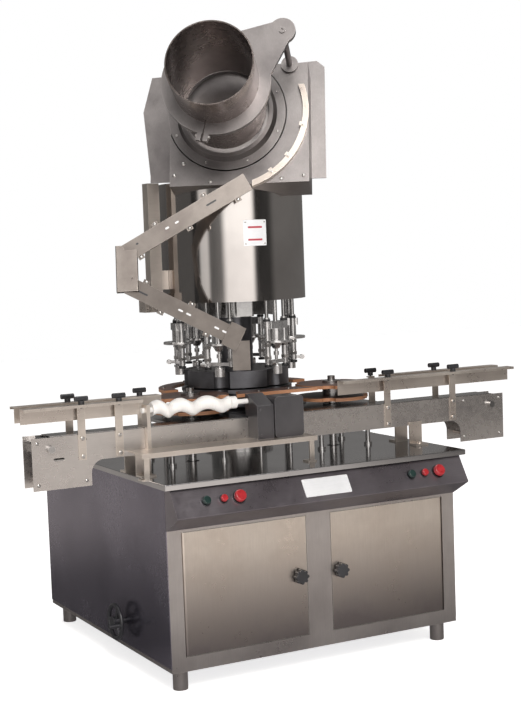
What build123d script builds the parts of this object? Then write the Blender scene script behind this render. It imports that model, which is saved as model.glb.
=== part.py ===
"""Rotary cap-placing and closing machine with a tilted cap feeder, millimetres.

Frame: +X is the way the containers travel, +Y runs from the front doors to the back, +Z is up.
The origin lies on the floor, under the middle of the machine's outline.
"""

import os
from math import atan2, cos, degrees, hypot, radians, sin

from build123d import *

# ---------------------------------------------------------------- driving dimensions
# cabinet
CABINET_WIDTH = 1132.0
CABINET_DEPTH = 1146.0
CABINET_Y = 21.0  # middle of the cabinet, and of the turret, behind the origin
SHEET = 2.0
POST = 50.0
FOOT_HEIGHT = 70.0
FOOT_RADIUS = 25.4
FOOT_INSET = 52.0
TABLE_TOP = 700.0
TABLE_PLATE = 6.0
TABLE_LIP = 18.0
TABLE_FRONT_OVERHANG = 53.0
TABLE_SIDE_OVERHANG = 22.0
BOTTOM_RAIL = 48.0
MULLION = 95.0
DOOR_TOP = 531.0
DOOR_DEPTH = 18.0
DOOR_SHEET = 2.0
DOOR_GAP = 1.5
HINGE_PIN_RADIUS = 4.0
HINGE_PIN_REACH = 14.0
KNOB_X = 80.0
KNOB_Z = 327.0
KNOB_SHAFT_RADIUS = 5.0
LATCH_REACH = 44.0

# control console
CONSOLE_BOTTOM = 540.0
CONSOLE_NOSE = 94.5  # how far the nose stands out from the cabinet front
CONSOLE_NOSE_Z = 592.0
CONSOLE_HEAD = 40.0  # how far the top edge stands out
CONSOLE_TOP = 680.0
CONSOLE_SHEET = 2.5
BUTTON_X = (-453.0, -390.0, -333.0, 339.0, 394.0, 452.0)
BUTTON_HEAD_RADIUS = (14.0, 12.0, 20.0, 14.0, 12.0, 20.0)
BUTTON_HEAD_HEIGHT = (9.0, 9.0, 15.0, 9.0, 9.0, 15.0)
BUTTON_STEM_RADIUS = 8.0
BUTTON_TRAVEL = 5.0
NAME_PLATE = (178.0, 64.0, 1.5)

# handwheel
HANDWHEEL_Y = -168.0
HANDWHEEL_Z = 167.0
HANDWHEEL_RADIUS = 65.0
HANDWHEEL_STANDOFF = 36.0
HANDWHEEL_SHAFT_RADIUS = 9.7

# conveyor
CONVEYOR_Y = -326.5
CONVEYOR_LEFT = -942.0
CONVEYOR_RIGHT = 936.0
CONVEYOR_TOP = 858.0
CONVEYOR_MID_BOTTOM = 771.0
CONVEYOR_END_BOTTOM = 688.0
CONVEYOR_END_LENGTH = 200.0
CONVEYOR_PLATE = 3.0
CONVEYOR_INNER_GAP = 84.0
SLAT_WIDTH = 82.5
SLAT_PITCH = 38.1
SLAT_THICKNESS = 4.0
DECK = 861.0
SPROCKET_INSET = 62.0

# guide rails
CONTAINER_RADIUS = 26.0
RAIL_CLEARANCE = 2.0
RAIL_BOTTOM = 905.0
RAIL_TOP = 957.0
RAIL_SHEET = 2.0
RAIL_FLANGE = 42.0
RAIL_LEFT = -971.0
RAIL_RIGHT = 973.0
RAIL_TRAVEL = 6.0
BRACKET_WIDTH = 26.0
BRACKET_SHEET = 4.0
NEAR_BRACKET_X = (-771.0, -640.0, 412.0, 701.0)
FAR_BRACKET_X = (-778.0, -520.0, 406.0, 690.0)

# container screw
SCREW_LEFT = -519.0
SCREW_RADIUS = 32.0
SCREW_ROOT = 15.0
SCREW_PITCHES = (80.0, 96.0, 114.0)
SCREW_STEPS = 8
SCREW_Z = 917.0
PLATFORM_TOP = 790.0
PLATFORM_SHEET = 4.0
PLATFORM_LEFT = -613.0
PLATFORM_RIGHT = 44.0
PLATFORM_FRONT = -492.0

# turret
HEAD_COUNT = 6
FIRST_HEAD_ANGLE = 47.1
PITCH_RADIUS = 213.0
STAR_POCKETS = 4
COLUMN_RADIUS = 65.0
COLUMN_TOP = 1540.0
LIFT_RADIUS = 40.0
CLEARANCE = 0.4
HUB_INSET = 18.0  # how far the hub's rim stays inside the pitch circle
HUB_BOTTOM = 940.0
HUB_TOP = 1000.0
STAR_PLATE = 12.0
STAR_PLATE_LEVELS = (876.0, 922.0)
STAR_MARGIN = 7.0  # how far a star's rim stays inside its pitch circle
CARRIER_MARGIN = 45.0  # how far the container platform reaches past the pitch circle
DRUM_RADIUS = 268.0
DRUM_SHEET = 3.0
DRUM_BOTTOM = 1254.0
DRUM_TOP = 1684.0
CAM_BORE = 240.0
SIDE_POST_GAP = 28.0
SIDE_POST_WIDTH = 45.0
SIDE_POST_DEPTH = 46.0
SIDE_POST_BOTTOM = 1288.0
SENSOR_BOX = 64.0

# capping heads
HEAD_PLATE_RADIUS = 58.0
HEAD_PLATE_Z = 1098.0
HEAD_PLATE = 10.0
GUIDE_SPREAD = 44.0
GUIDE_ROD_RADIUS = 7.0
GUIDE_TUBE_RADIUS = 11.0
SPINDLE_RADIUS = 6.0
CHUCK_RADIUS = 19.0
CHUCK_BOTTOM = 985.0
CHUCK_TOP = 1019.0

# cap feeder: its own plane is turned to the left and leans back
FEEDER_YAW = 33.9
FEEDER_TILT = 16.4
FEEDER_FORWARD = 230.0
FEEDER_SIDE = 30.0
FEEDER_Z = 1916.0
FACE_LEFT = -203.0
FACE_RIGHT = 287.0
FACE_BOTTOM = -260.0
FACE_TOP = 180.0
FACE_PLATE = 6.0
HOUSING_DEPTH = 150.0
BACK_PLATE = 6.0
FEEDER_DISC_RADIUS = 208.0
FEEDER_BORE_RADIUS = 212.0
TUBE_RADIUS = 146.0
TUBE_SHEET = 3.0
TUBE_START = 46.0
TUBE_END = 449.0
CLAMP_START = 272.0
CLAMP_THICKNESS = 18.0
CLAMP_WIDTH = 39.0
BOSS = (224.0, 172.0)
BOSS_RADIUS = 44.0
TRACK_INNER = 270.0
TRACK_OUTER = 290.0

# cap chute
ELBOW_LAP = 26.0
CHUTE_WIDTH = 62.0
CHUTE_DEPTH = 16.0

# ---------------------------------------------------------------- places worked out from them
half_width = CABINET_WIDTH / 2
hub_radius = PITCH_RADIUS - HUB_INSET
carrier_radius = PITCH_RADIUS + CARRIER_MARGIN
front = CABINET_Y - CABINET_DEPTH / 2
back = CABINET_Y + CABINET_DEPTH / 2
frame_top = TABLE_TOP - TABLE_PLATE
door_bottom = FOOT_HEIGHT + BOTTOM_RAIL
opening_side = half_width - SHEET - POST
turret_centre = (0.0, CABINET_Y)
near_plate_y = CONVEYOR_Y - CONVEYOR_INNER_GAP / 2 - CONVEYOR_PLATE
far_plate_y = CONVEYOR_Y + CONVEYOR_INNER_GAP / 2
near_rail_y = CONVEYOR_Y - CONTAINER_RADIUS - RAIL_CLEARANCE
far_rail_y = CONVEYOR_Y + CONTAINER_RADIUS + RAIL_CLEARANCE
star_pitch_radius = PITCH_RADIUS * STAR_POCKETS / HEAD_COUNT
star_y = CONVEYOR_Y + star_pitch_radius
star_x = ((PITCH_RADIUS + star_pitch_radius) ** 2 - (CABINET_Y - star_y) ** 2) ** 0.5
star_rim = star_pitch_radius - STAR_MARGIN
pocket_radius = CONTAINER_RADIUS + 1.0
sprocket_radius = (DECK - CONVEYOR_MID_BOTTOM) / 2 - 8.0
sprocket_z = DECK - SLAT_THICKNESS - sprocket_radius
screw_y = near_rail_y - SCREW_ROOT - 1.0
head_angles = [FIRST_HEAD_ANGLE + 360.0 / HEAD_COUNT * n for n in range(HEAD_COUNT)]
pieces = {}


def block(x, y, z, mode=Mode.ADD):
    """A box between two values on each axis."""
    with Locations(((x[0] + x[1]) / 2, (y[0] + y[1]) / 2, (z[0] + z[1]) / 2)):
        Box(x[1] - x[0], y[1] - y[0], z[1] - z[0], mode=mode)


def post(place, radius, low, high, mode=Mode.ADD):
    """An upright cylinder over a point of the floor plan."""
    with Locations((place[0], place[1], low)):
        Cylinder(radius, high - low, align=(Align.CENTER, Align.CENTER, Align.MIN), mode=mode)


def bar(start, end, radius, mode=Mode.ADD):
    """A cylinder from one point to another."""
    run = Vector(*end) - Vector(*start)
    with Locations(Plane(origin=start, z_dir=run).location):
        Cylinder(radius, run.length, align=(Align.CENTER, Align.CENTER, Align.MIN), mode=mode)


# ---------------------------------------------------------------- cabinet
with BuildPart() as base_frame:
    for side in (-1, 1):
        for y in (front, back - SHEET - POST):
            x = side * (half_width - SHEET - POST / 2)
            block((x - POST / 2, x + POST / 2), (y, y + POST), (FOOT_HEIGHT, frame_top))
    for low, high in ((FOOT_HEIGHT, door_bottom), (frame_top - POST, frame_top)):
        for y in (front, back - SHEET - POST):
            block((-opening_side, opening_side), (y, y + POST), (low, high))
        for side in (-1, 1):
            x = side * (half_width - SHEET - POST / 2)
            block((x - POST / 2, x + POST / 2), (front, back - SHEET), (low, high))
    block((-opening_side, opening_side), (front, front + POST), (DOOR_TOP, frame_top))
    block((-MULLION / 2, MULLION / 2), (front, front + POST), (FOOT_HEIGHT, DOOR_TOP))
    for y in (CABINET_Y - 190.0, CABINET_Y + 190.0):
        block((-opening_side, opening_side), (y - POST / 2, y + POST / 2), (FOOT_HEIGHT, door_bottom))
    # slots that take the two door latches
    for side in (-1, 1):
        slot_x = sorted((side * (MULLION / 2 - 14.0), side * (MULLION / 2 + 1.0)))
        block(slot_x, (front + DOOR_DEPTH + 1.0, front + DOOR_DEPTH + 11.0),
              (KNOB_Z - LATCH_REACH - 8.0, KNOB_Z + LATCH_REACH + 8.0), Mode.SUBTRACT)
    # door hinge pins stand in the rail below and hang in the header above
    hinge_inset = DOOR_GAP + DOOR_DEPTH / 2
    for side in (-1, 1):
        pin = (side * (opening_side - hinge_inset), front + DOOR_DEPTH / 2)
        post(pin, HINGE_PIN_RADIUS, door_bottom - 20.0, door_bottom + HINGE_PIN_REACH)
        post(pin, HINGE_PIN_RADIUS, DOOR_TOP - HINGE_PIN_REACH, DOOR_TOP + 20.0)
pieces["base_frame"] = base_frame

with BuildPart() as cabinet_panels:
    for side in (-1, 1):
        x = sorted((side * (half_width - SHEET), side * half_width))
        block(x, (front + SHEET, back), (FOOT_HEIGHT + 14.0, frame_top - SHEET))
    block((-half_width + SHEET + 0.5, half_width - SHEET - 0.5), (back - SHEET, back),
          (FOOT_HEIGHT + 14.0, frame_top - SHEET))
    block((-opening_side, opening_side), (front + POST + 1.0, back - POST - SHEET - 1.0),
          (door_bottom, door_bottom + SHEET))
    bar((-half_width - 5.0, HANDWHEEL_Y, HANDWHEEL_Z), (-half_width + 5.0, HANDWHEEL_Y, HANDWHEEL_Z),
        HANDWHEEL_SHAFT_RADIUS + 2.0, Mode.SUBTRACT)
pieces["cabinet_panels"] = cabinet_panels

table_x = half_width + TABLE_SIDE_OVERHANG
table_y = (front - TABLE_FRONT_OVERHANG, back + TABLE_FRONT_OVERHANG)
with BuildPart() as table_top:
    block((-table_x, table_x), table_y, (TABLE_TOP - TABLE_LIP, TABLE_TOP))
    fillet(table_top.edges().filter_by(Axis.Z), 6.0)
    fillet(table_top.faces().sort_by(Axis.Z)[-1].edges(), 2.0)
    block((-table_x + 3.0, table_x - 3.0), (table_y[0] + 3.0, table_y[1] - 3.0),
          (TABLE_TOP - TABLE_LIP - 1.0, frame_top), Mode.SUBTRACT)
    post(turret_centre, COLUMN_RADIUS + 8.0, frame_top - 1.0, TABLE_TOP + 1.0, Mode.SUBTRACT)
    for side in (-1, 1):
        post((side * star_x, star_y), 24.0, frame_top - 1.0, TABLE_TOP + 1.0, Mode.SUBTRACT)
pieces["table_top"] = table_top

with BuildPart() as feet:
    for side in (-1, 1):
        for y in (front + FOOT_INSET, back - FOOT_INSET):
            x = side * (half_width - FOOT_INSET)
            post((x, y), FOOT_RADIUS, 0.0, FOOT_HEIGHT)
            post((x, y), FOOT_RADIUS + 3.0, FOOT_HEIGHT - 4.0, FOOT_HEIGHT)
    fillet(feet.faces().sort_by(Axis.Z)[0:4].edges(), 2.0)
pieces["feet"] = feet

# ---------------------------------------------------------------- doors
door_x = (MULLION / 2 + DOOR_GAP, opening_side - DOOR_GAP)
door_z = (door_bottom + DOOR_GAP, DOOR_TOP - DOOR_GAP)


def make_door(side):
    """A folded pan door; the hinge edge is rounded about its pin."""
    x = sorted((side * door_x[0], side * door_x[1]))
    pin = (side * (door_x[1] - DOOR_DEPTH / 2), front + DOOR_DEPTH / 2)
    with BuildPart() as door:
        block(x, (front, front + DOOR_DEPTH), door_z)
        hinge_edge = door.edges().filter_by(Axis.Z).sort_by(Axis.Y)[0:2].sort_by(Axis.X)
        fillet(hinge_edge[0] if side < 0 else hinge_edge[-1], DOOR_DEPTH / 2)
        inner_x = sorted((side * (door_x[0] + DOOR_SHEET), side * (door_x[1] - DOOR_DEPTH - 2.0)))
        block(inner_x, (front + DOOR_SHEET, front + DOOR_DEPTH + 1.0),
              (door_z[0] + DOOR_SHEET, door_z[1] - DOOR_SHEET), Mode.SUBTRACT)
        pin_hole = HINGE_PIN_RADIUS + CLEARANCE
        post(pin, pin_hole, door_z[0] - 1.0, door_z[0] + HINGE_PIN_REACH + 2.0, Mode.SUBTRACT)
        post(pin, pin_hole, door_z[1] - HINGE_PIN_REACH - 2.0, door_z[1] + 1.0, Mode.SUBTRACT)
        bar((side * KNOB_X, front - 1.0, KNOB_Z), (side * KNOB_X, front + DOOR_DEPTH, KNOB_Z),
            KNOB_SHAFT_RADIUS + CLEARANCE, Mode.SUBTRACT)
        # lifting lip that keeps the sheet stiff behind the knob
        block(sorted((side * (KNOB_X + 18.0), side * (KNOB_X + 20.0))), (front + DOOR_SHEET, front + 8.0),
              (door_z[0] + DOOR_SHEET, door_z[1] - DOOR_SHEET))
    return door


pieces["left_door"] = make_door(-1)
pieces["right_door"] = make_door(1)


def make_door_knob(side):
    """A lobed knob on a shaft through the door, with its latch arm behind."""
    centre = (side * KNOB_X, front, KNOB_Z)
    with BuildPart() as knob:
        with BuildSketch(Plane.XZ.offset(-front + 6.0)):
            with Locations((centre[0], KNOB_Z)):
                Circle(21.0)
                with PolarLocations(20.0, 8):
                    Circle(6.0)
        extrude(amount=20.0)
        fillet(knob.faces().sort_by(Axis.Y)[0].edges(), 2.5)
        bar((centre[0], front - 6.0, KNOB_Z), (centre[0], front - 0.5, KNOB_Z), 11.0)
        bar((centre[0], front - 8.0, KNOB_Z), (centre[0], front + DOOR_DEPTH + 8.0, KNOB_Z),
            KNOB_SHAFT_RADIUS)
        block((centre[0] - 7.0, centre[0] + 7.0), (front + DOOR_DEPTH + 4.0, front + DOOR_DEPTH + 7.0),
              (KNOB_Z - 8.0, KNOB_Z + LATCH_REACH))
    return knob


pieces["left_door_knob"] = make_door_knob(-1)
pieces["right_door_knob"] = make_door_knob(1)

# ---------------------------------------------------------------- console and buttons
console_nose_y = front - CONSOLE_NOSE
console_head_y = front - CONSOLE_HEAD
face_run = Vector(0, console_nose_y - console_head_y, CONSOLE_NOSE_Z - CONSOLE_TOP)
face_normal = Vector(0, face_run.Z, -face_run.Y).normalized()
face_middle = Vector(0, (console_nose_y + console_head_y) / 2, (CONSOLE_NOSE_Z + CONSOLE_TOP) / 2)
console_face = Plane(origin=face_middle, x_dir=(1, 0, 0), z_dir=face_normal)
console_outline = [(front, CONSOLE_BOTTOM), (console_nose_y, CONSOLE_NOSE_Z),
                   (console_head_y, CONSOLE_TOP), (front, CONSOLE_TOP)]

with BuildPart() as control_console:
    with BuildSketch(Plane.YZ.offset(-half_width)):
        with BuildLine():
            Polyline(*console_outline, close=True)
        make_face()
    extrude(amount=CABINET_WIDTH)
    fillet(control_console.edges().filter_by(Axis.X).sort_by(Axis.Y)[0], 4.0)
    with BuildSketch(Plane.YZ.offset(-half_width + CONSOLE_SHEET)):
        with BuildLine():
            Polyline(*console_outline, close=True)
        make_face()
        offset(amount=-CONSOLE_SHEET, mode=Mode.REPLACE)
    extrude(amount=CABINET_WIDTH - 2 * CONSOLE_SHEET, mode=Mode.SUBTRACT)
    with Locations(console_face):
        for x in BUTTON_X:
            with Locations((x, 0, 0)):
                Cylinder(BUTTON_STEM_RADIUS + 3.0, 20.0, mode=Mode.SUBTRACT)
pieces["control_console"] = control_console

with BuildPart() as name_plate:
    with BuildSketch(console_face):
        RectangleRounded(NAME_PLATE[0], NAME_PLATE[1], 3.0)
    extrude(amount=NAME_PLATE[2])
    for x in (-1, 1):
        for y in (-1, 1):
            with Locations(console_face.offset(NAME_PLATE[2])):
                with Locations((x * (NAME_PLATE[0] / 2 - 6.0), y * (NAME_PLATE[1] / 2 - 6.0), 0)):
                    Cylinder(2.5, 1.6)
pieces["name_plate"] = name_plate

with BuildPart() as button_bezels:
    for x, radius in zip(BUTTON_X, BUTTON_HEAD_RADIUS):
        with Locations(console_face):
            with Locations((x, 0, 0)):
                Cylinder(radius + 3.5, 3.0, align=(Align.CENTER, Align.CENTER, Align.MIN))
                Cylinder(BUTTON_STEM_RADIUS + 2.8, 24.0, align=(Align.CENTER, Align.CENTER, Align.MAX))
                Cylinder(BUTTON_STEM_RADIUS + CLEARANCE, 60.0, mode=Mode.SUBTRACT)
pieces["button_bezels"] = button_bezels

for number, (x, radius, height) in enumerate(zip(BUTTON_X, BUTTON_HEAD_RADIUS, BUTTON_HEAD_HEIGHT), 1):
    lift = 3.0 + BUTTON_TRAVEL + 0.5
    with BuildPart() as button:
        with Locations(console_face.offset(lift)):
            with Locations((x, 0, 0)):
                Cylinder(radius, height, align=(Align.CENTER, Align.CENTER, Align.MIN))
        fillet(button.faces().sort_by(Axis(face_middle, face_normal))[-1].edges(), height / 3)
        with Locations(console_face.offset(lift + 1.0)):
            with Locations((x, 0, 0)):
                Cylinder(BUTTON_STEM_RADIUS, 30.0, align=(Align.CENTER, Align.CENTER, Align.MAX))
    pieces[f"push_button_{number}"] = button

# ---------------------------------------------------------------- handwheel
wheel_x = -half_width - HANDWHEEL_STANDOFF
with BuildPart() as handwheel:
    wheel = Plane(origin=(wheel_x, HANDWHEEL_Y, HANDWHEEL_Z), x_dir=(0, 1, 0), z_dir=(-1, 0, 0))
    with BuildSketch(wheel.offset(-6.5)):
        Circle(HANDWHEEL_RADIUS)
        Circle(HANDWHEEL_RADIUS - 15.0, mode=Mode.SUBTRACT)
    extrude(amount=13.0)
    fillet(handwheel.edges(), 6.0)
    with BuildSketch(wheel.offset(-4.0)):
        with PolarLocations(33.0, 3):
            Rectangle(44.0, 13.0)
    extrude(amount=8.0)
    with BuildSketch(wheel.offset(-13.0)):
        Circle(19.0)
    extrude(amount=26.0)
    with BuildSketch(wheel.offset(3.0)):
        with Locations((-(HANDWHEEL_RADIUS - 7.5), 0)):
            Circle(4.5)
    extrude(amount=12.0)
    with BuildSketch(wheel.offset(14.0)):
        with Locations((-(HANDWHEEL_RADIUS - 7.5), 0)):
            Circle(8.0)
    extrude(amount=34.0)
    bar((wheel_x, HANDWHEEL_Y, HANDWHEEL_Z), (-half_width + 130.0, HANDWHEEL_Y, HANDWHEEL_Z),
        HANDWHEEL_SHAFT_RADIUS)
pieces["handwheel"] = handwheel

# ---------------------------------------------------------------- drive inside the cabinet
with BuildPart() as base_drive:
    # lift gearbox under the turret, which raises the inner column
    block((-90.0, 90.0), (CABINET_Y - 90.0, CABINET_Y + 90.0), (door_bottom + SHEET, 330.0))
    post(turret_centre, LIFT_RADIUS + CLEARANCE, 200.0, 331.0, Mode.SUBTRACT)
    # bearing block of the handwheel shaft
    block((-half_width + SHEET + 0.5, -half_width + 34.0),
          (HANDWHEEL_Y - 30.0, HANDWHEEL_Y + 30.0), (HANDWHEEL_Z - 30.0, HANDWHEEL_Z + 30.0))
    block((-half_width + 136.0, -half_width + 236.0),
          (HANDWHEEL_Y - 40.0, HANDWHEEL_Y + 40.0), (door_bottom + SHEET, HANDWHEEL_Z + 40.0))
    bar((-half_width, HANDWHEEL_Y, HANDWHEEL_Z), (-half_width + 140.0, HANDWHEEL_Y, HANDWHEEL_Z),
        HANDWHEEL_SHAFT_RADIUS + CLEARANCE, Mode.SUBTRACT)
    # main motor on its foot, with the worm box in front of it
    motor = (300.0, CABINET_Y + 240.0)
    block((motor[0] - 80.0, motor[0] + 80.0), (motor[1] - 110.0, motor[1] + 110.0),
          (door_bottom + SHEET, door_bottom + SHEET + 12.0))
    bar((motor[0], motor[1] - 20.0, 240.0), (motor[0], motor[1] + 200.0, 240.0), 85.0)
    block((motor[0] - 40.0, motor[0] + 40.0), (motor[1] - 20.0, motor[1] + 100.0), (130.0, 240.0))
    block((motor[0] - 75.0, motor[0] + 75.0), (motor[1] - 170.0, motor[1] - 20.0),
          (door_bottom + SHEET, 330.0))
pieces["base_drive"] = base_drive

# ---------------------------------------------------------------- conveyor
left_step = CONVEYOR_LEFT + CONVEYOR_END_LENGTH
right_step = CONVEYOR_RIGHT - CONVEYOR_END_LENGTH
sprocket_x = (CONVEYOR_LEFT + SPROCKET_INSET, CONVEYOR_RIGHT - SPROCKET_INSET)
SHAFT_RADIUS = 12.0
COUPLING_RADIUS = 10.0
COUPLING_LENGTH = 41.0
STEP_FILLET = 44.0


def make_conveyor_plate(y):
    """A side plate with a deeper section at each end; its outer edges are folded outwards."""
    with BuildPart() as plate:
        with BuildSketch(Plane.XZ.offset(-y)):
            with BuildLine():
                FilletPolyline((left_step, CONVEYOR_END_BOTTOM), (left_step, CONVEYOR_MID_BOTTOM),
                               (right_step, CONVEYOR_MID_BOTTOM), (right_step, CONVEYOR_END_BOTTOM),
                               radius=STEP_FILLET)
                Polyline((right_step, CONVEYOR_END_BOTTOM), (CONVEYOR_RIGHT, CONVEYOR_END_BOTTOM),
                         (CONVEYOR_RIGHT, CONVEYOR_TOP), (CONVEYOR_LEFT, CONVEYOR_TOP),
                         (CONVEYOR_LEFT, CONVEYOR_END_BOTTOM), (left_step, CONVEYOR_END_BOTTOM))
            make_face()
        extrude(amount=-CONVEYOR_PLATE)
        for x in sprocket_x:
            bar((x, y - 1.0, sprocket_z), (x, y + CONVEYOR_PLATE + 1.0, sprocket_z),
                SHAFT_RADIUS + CLEARANCE, Mode.SUBTRACT)
        # take-up slots under the idler shaft
        with BuildSketch(Plane.XZ.offset(-y + 1.0)):
            with Locations((CONVEYOR_LEFT + 90.0, sprocket_z - 36.0)):
                SlotOverall(38.0, 10.0)
        extrude(amount=-CONVEYOR_PLATE - 2.0, mode=Mode.SUBTRACT)
    return plate


pieces["conveyor_front_plate"] = make_conveyor_plate(near_plate_y)
pieces["conveyor_rear_plate"] = make_conveyor_plate(far_plate_y)

inner_y = (near_plate_y + CONVEYOR_PLATE, far_plate_y)
chain_low = sprocket_z - sprocket_radius - SLAT_THICKNESS
with BuildPart() as conveyor_supports:
    # tie bars between the side plates, under the return run at the ends and through the middle
    for x in (-700.0, -350.0, 0.0, 350.0, 690.0):
        bar((x, inner_y[0], sprocket_z), (x, inner_y[1], sprocket_z), 7.0)
    for x in (CONVEYOR_LEFT + 40.0, CONVEYOR_LEFT + 165.0, CONVEYOR_RIGHT - 165.0, CONVEYOR_RIGHT - 40.0):
        bar((x, inner_y[0], CONVEYOR_END_BOTTOM + 28.0), (x, inner_y[1], CONVEYOR_END_BOTTOM + 28.0), 7.0)
    # wear strips that carry the upper run
    strip_top = DECK - SLAT_THICKNESS - 0.3
    for y in (inner_y[0] + 2.0, inner_y[1] - 22.0):
        block((sprocket_x[0] + 70.0, sprocket_x[1] - 70.0), (y, y + 20.0), (strip_top - 8.0, strip_top))
    for x in (-700.0, -350.0, 0.0, 350.0, 690.0):
        for y in (inner_y[0] + 6.0, inner_y[1] - 18.0):
            block((x - 5.0, x + 5.0), (y, y + 12.0), (sprocket_z, strip_top - 7.0))
    # angle legs on the table, bolted to the outside of the side plates
    for x in (-560.0, 530.0):
        for outer_y, way in ((near_plate_y, -1), (far_plate_y + CONVEYOR_PLATE, 1)):
            web = sorted((outer_y, outer_y + way * 5.0))
            shelf = sorted((outer_y, outer_y + way * 46.0))
            block((x - 27.0, x + 27.0), web, (TABLE_TOP, CONVEYOR_MID_BOTTOM + 13.0))
            block((x - 27.0, x + 27.0), shelf, (TABLE_TOP, TABLE_TOP + 6.0))
            with Locations((x, outer_y + way * 28.0, TABLE_TOP + 6.0)):
                Cylinder(8.0, 6.0, align=(Align.CENTER, Align.CENTER, Align.MIN))
pieces["conveyor_supports"] = conveyor_supports

run = sprocket_x[1] - sprocket_x[0]
slat_count = int(run // SLAT_PITCH)
slat_middle = sprocket_radius + SLAT_THICKNESS / 2
with BuildPart() as slat_chain:
    first_x = sprocket_x[0] + (run - (slat_count - 1) * SLAT_PITCH) / 2
    for z in (sprocket_z + slat_middle, sprocket_z - slat_middle):
        with Locations(*[(first_x + n * SLAT_PITCH, CONVEYOR_Y, z) for n in range(slat_count)]):
            Box(SLAT_PITCH - 1.4, SLAT_WIDTH, SLAT_THICKNESS)
    # three slats round each end sprocket
    for x, turn in ((sprocket_x[0], -1), (sprocket_x[1], 1)):
        for angle in (-45.0, 0.0, 45.0):
            reach = (slat_middle * cos(radians(angle)) * turn, slat_middle * sin(radians(angle)))
            outward = Plane(origin=(x + reach[0], CONVEYOR_Y, sprocket_z + reach[1]), x_dir=(0, 1, 0),
                            z_dir=(reach[0], 0, reach[1]))
            with Locations(outward.location):
                Box(SLAT_WIDTH, 26.0, SLAT_THICKNESS)
pieces["slat_chain"] = slat_chain


def make_sprocket(x, coupling_end):
    """A shaft with a toothed wheel between the side plates, and a coupling end if it is driven."""
    with BuildPart() as sprocket:
        with BuildSketch(Plane.XZ.offset(-(CONVEYOR_Y + 10.0))):
            with Locations((x, sprocket_z)):
                Circle(sprocket_radius - 2.0)
                with PolarLocations(sprocket_radius - 2.0, 12):
                    Circle(3.2, mode=Mode.SUBTRACT)
        extrude(amount=20.0)
        shaft_end = far_plate_y + CONVEYOR_PLATE + 16.0
        bar((x, near_plate_y - 16.0, sprocket_z), (x, shaft_end, sprocket_z), SHAFT_RADIUS)
        if coupling_end:
            bar((x, shaft_end - 1.0, sprocket_z), (x, shaft_end + coupling_end, sprocket_z), COUPLING_RADIUS)
        for y in (inner_y[0] + 1.0, inner_y[1] - 15.0):
            bar((x, y, sprocket_z), (x, y + 14.0, sprocket_z), SHAFT_RADIUS + 8.0)
    return sprocket


pieces["idler_sprocket"] = make_sprocket(sprocket_x[0], 0.0)
pieces["drive_sprocket"] = make_sprocket(sprocket_x[1], COUPLING_LENGTH)

# ---------------------------------------------------------------- guide rails
rails = {
    "near_rail_left": (RAIL_LEFT, -560.0, near_rail_y, -1),
    "near_rail_right": (PITCH_RADIUS, RAIL_RIGHT, near_rail_y, -1),
    "far_rail_left": (RAIL_LEFT, -star_x - star_pitch_radius - 20.0, far_rail_y, 1),
    "far_rail_right": (star_x + star_pitch_radius + 20.0, RAIL_RIGHT, far_rail_y, 1),
}
SLOT_WIDTH = 8.6
STUD_RADIUS = 4.0
KNOB_REACH = 22.0
rail_slot = 2 * STUD_RADIUS + 2 * RAIL_TRAVEL + 2.0
near_stud_y = near_rail_y - 26.0
far_stud_y = far_rail_y + 26.0
for name, (x0, x1, y, way) in rails.items():
    bracket_x = NEAR_BRACKET_X if way < 0 else FAR_BRACKET_X
    stud_y = near_stud_y if way < 0 else far_stud_y
    with BuildPart() as rail:
        wall = sorted((y, y + way * RAIL_SHEET))
        flange = sorted((y, y + way * RAIL_FLANGE))
        block((x0, x1), wall, (RAIL_BOTTOM, RAIL_TOP))
        block((x0, x1), flange, (RAIL_TOP - RAIL_SHEET, RAIL_TOP))
        hem = sorted((y + way * (RAIL_FLANGE - RAIL_SHEET), y + way * RAIL_FLANGE))
        block((x0, x1), hem, (RAIL_TOP - 9.0, RAIL_TOP))
        for x in bracket_x:
            if x0 < x < x1:
                with BuildSketch(Plane.XY.offset(RAIL_TOP - RAIL_SHEET - 1.0)):
                    with Locations((x, stud_y)):
                        SlotOverall(rail_slot, SLOT_WIDTH + 1.0, rotation=90)
                extrude(amount=RAIL_SHEET + 2.0, mode=Mode.SUBTRACT)
    pieces[name] = rail

tab_top = RAIL_TOP - RAIL_SHEET - CLEARANCE
with BuildPart() as rail_brackets:
    for places, plate_y, stud_y, way in ((NEAR_BRACKET_X, near_plate_y, near_stud_y, -1),
                                         (FAR_BRACKET_X, far_plate_y + CONVEYOR_PLATE, far_stud_y, 1)):
        for x in places:
            sides = (x - BRACKET_WIDTH / 2, x + BRACKET_WIDTH / 2)
            upright = sorted((plate_y, plate_y + way * BRACKET_SHEET))
            block(sides, upright, (CONVEYOR_MID_BOTTOM + 4.0, tab_top))
            tab = sorted((plate_y, stud_y + way * (STUD_RADIUS + 3.4)))
            block(sides, tab, (tab_top - BRACKET_SHEET, tab_top))
            post((x, stud_y), STUD_RADIUS, tab_top - 10.0, tab_top + 1.0, Mode.SUBTRACT)
            for z in (CONVEYOR_MID_BOTTOM + 16.0, CONVEYOR_TOP - 12.0):
                bar((x, plate_y, z), (x, plate_y + way * (BRACKET_SHEET + 4.0), z), 5.5)
pieces["rail_brackets"] = rail_brackets

with BuildPart() as rail_clamp_knobs:
    for places, stud_y in ((NEAR_BRACKET_X, near_stud_y), (FAR_BRACKET_X, far_stud_y)):
        for x in places:
            post((x, stud_y), STUD_RADIUS, tab_top - BRACKET_SHEET - 6.0, RAIL_TOP + 12.0)
            post((x, stud_y), 10.0, RAIL_TOP + CLEARANCE, RAIL_TOP + 12.0)
            bar((x - KNOB_REACH, stud_y, RAIL_TOP + 19.0), (x + KNOB_REACH, stud_y, RAIL_TOP + 19.0), 8.5)
pieces["rail_clamp_knobs"] = rail_clamp_knobs

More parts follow.
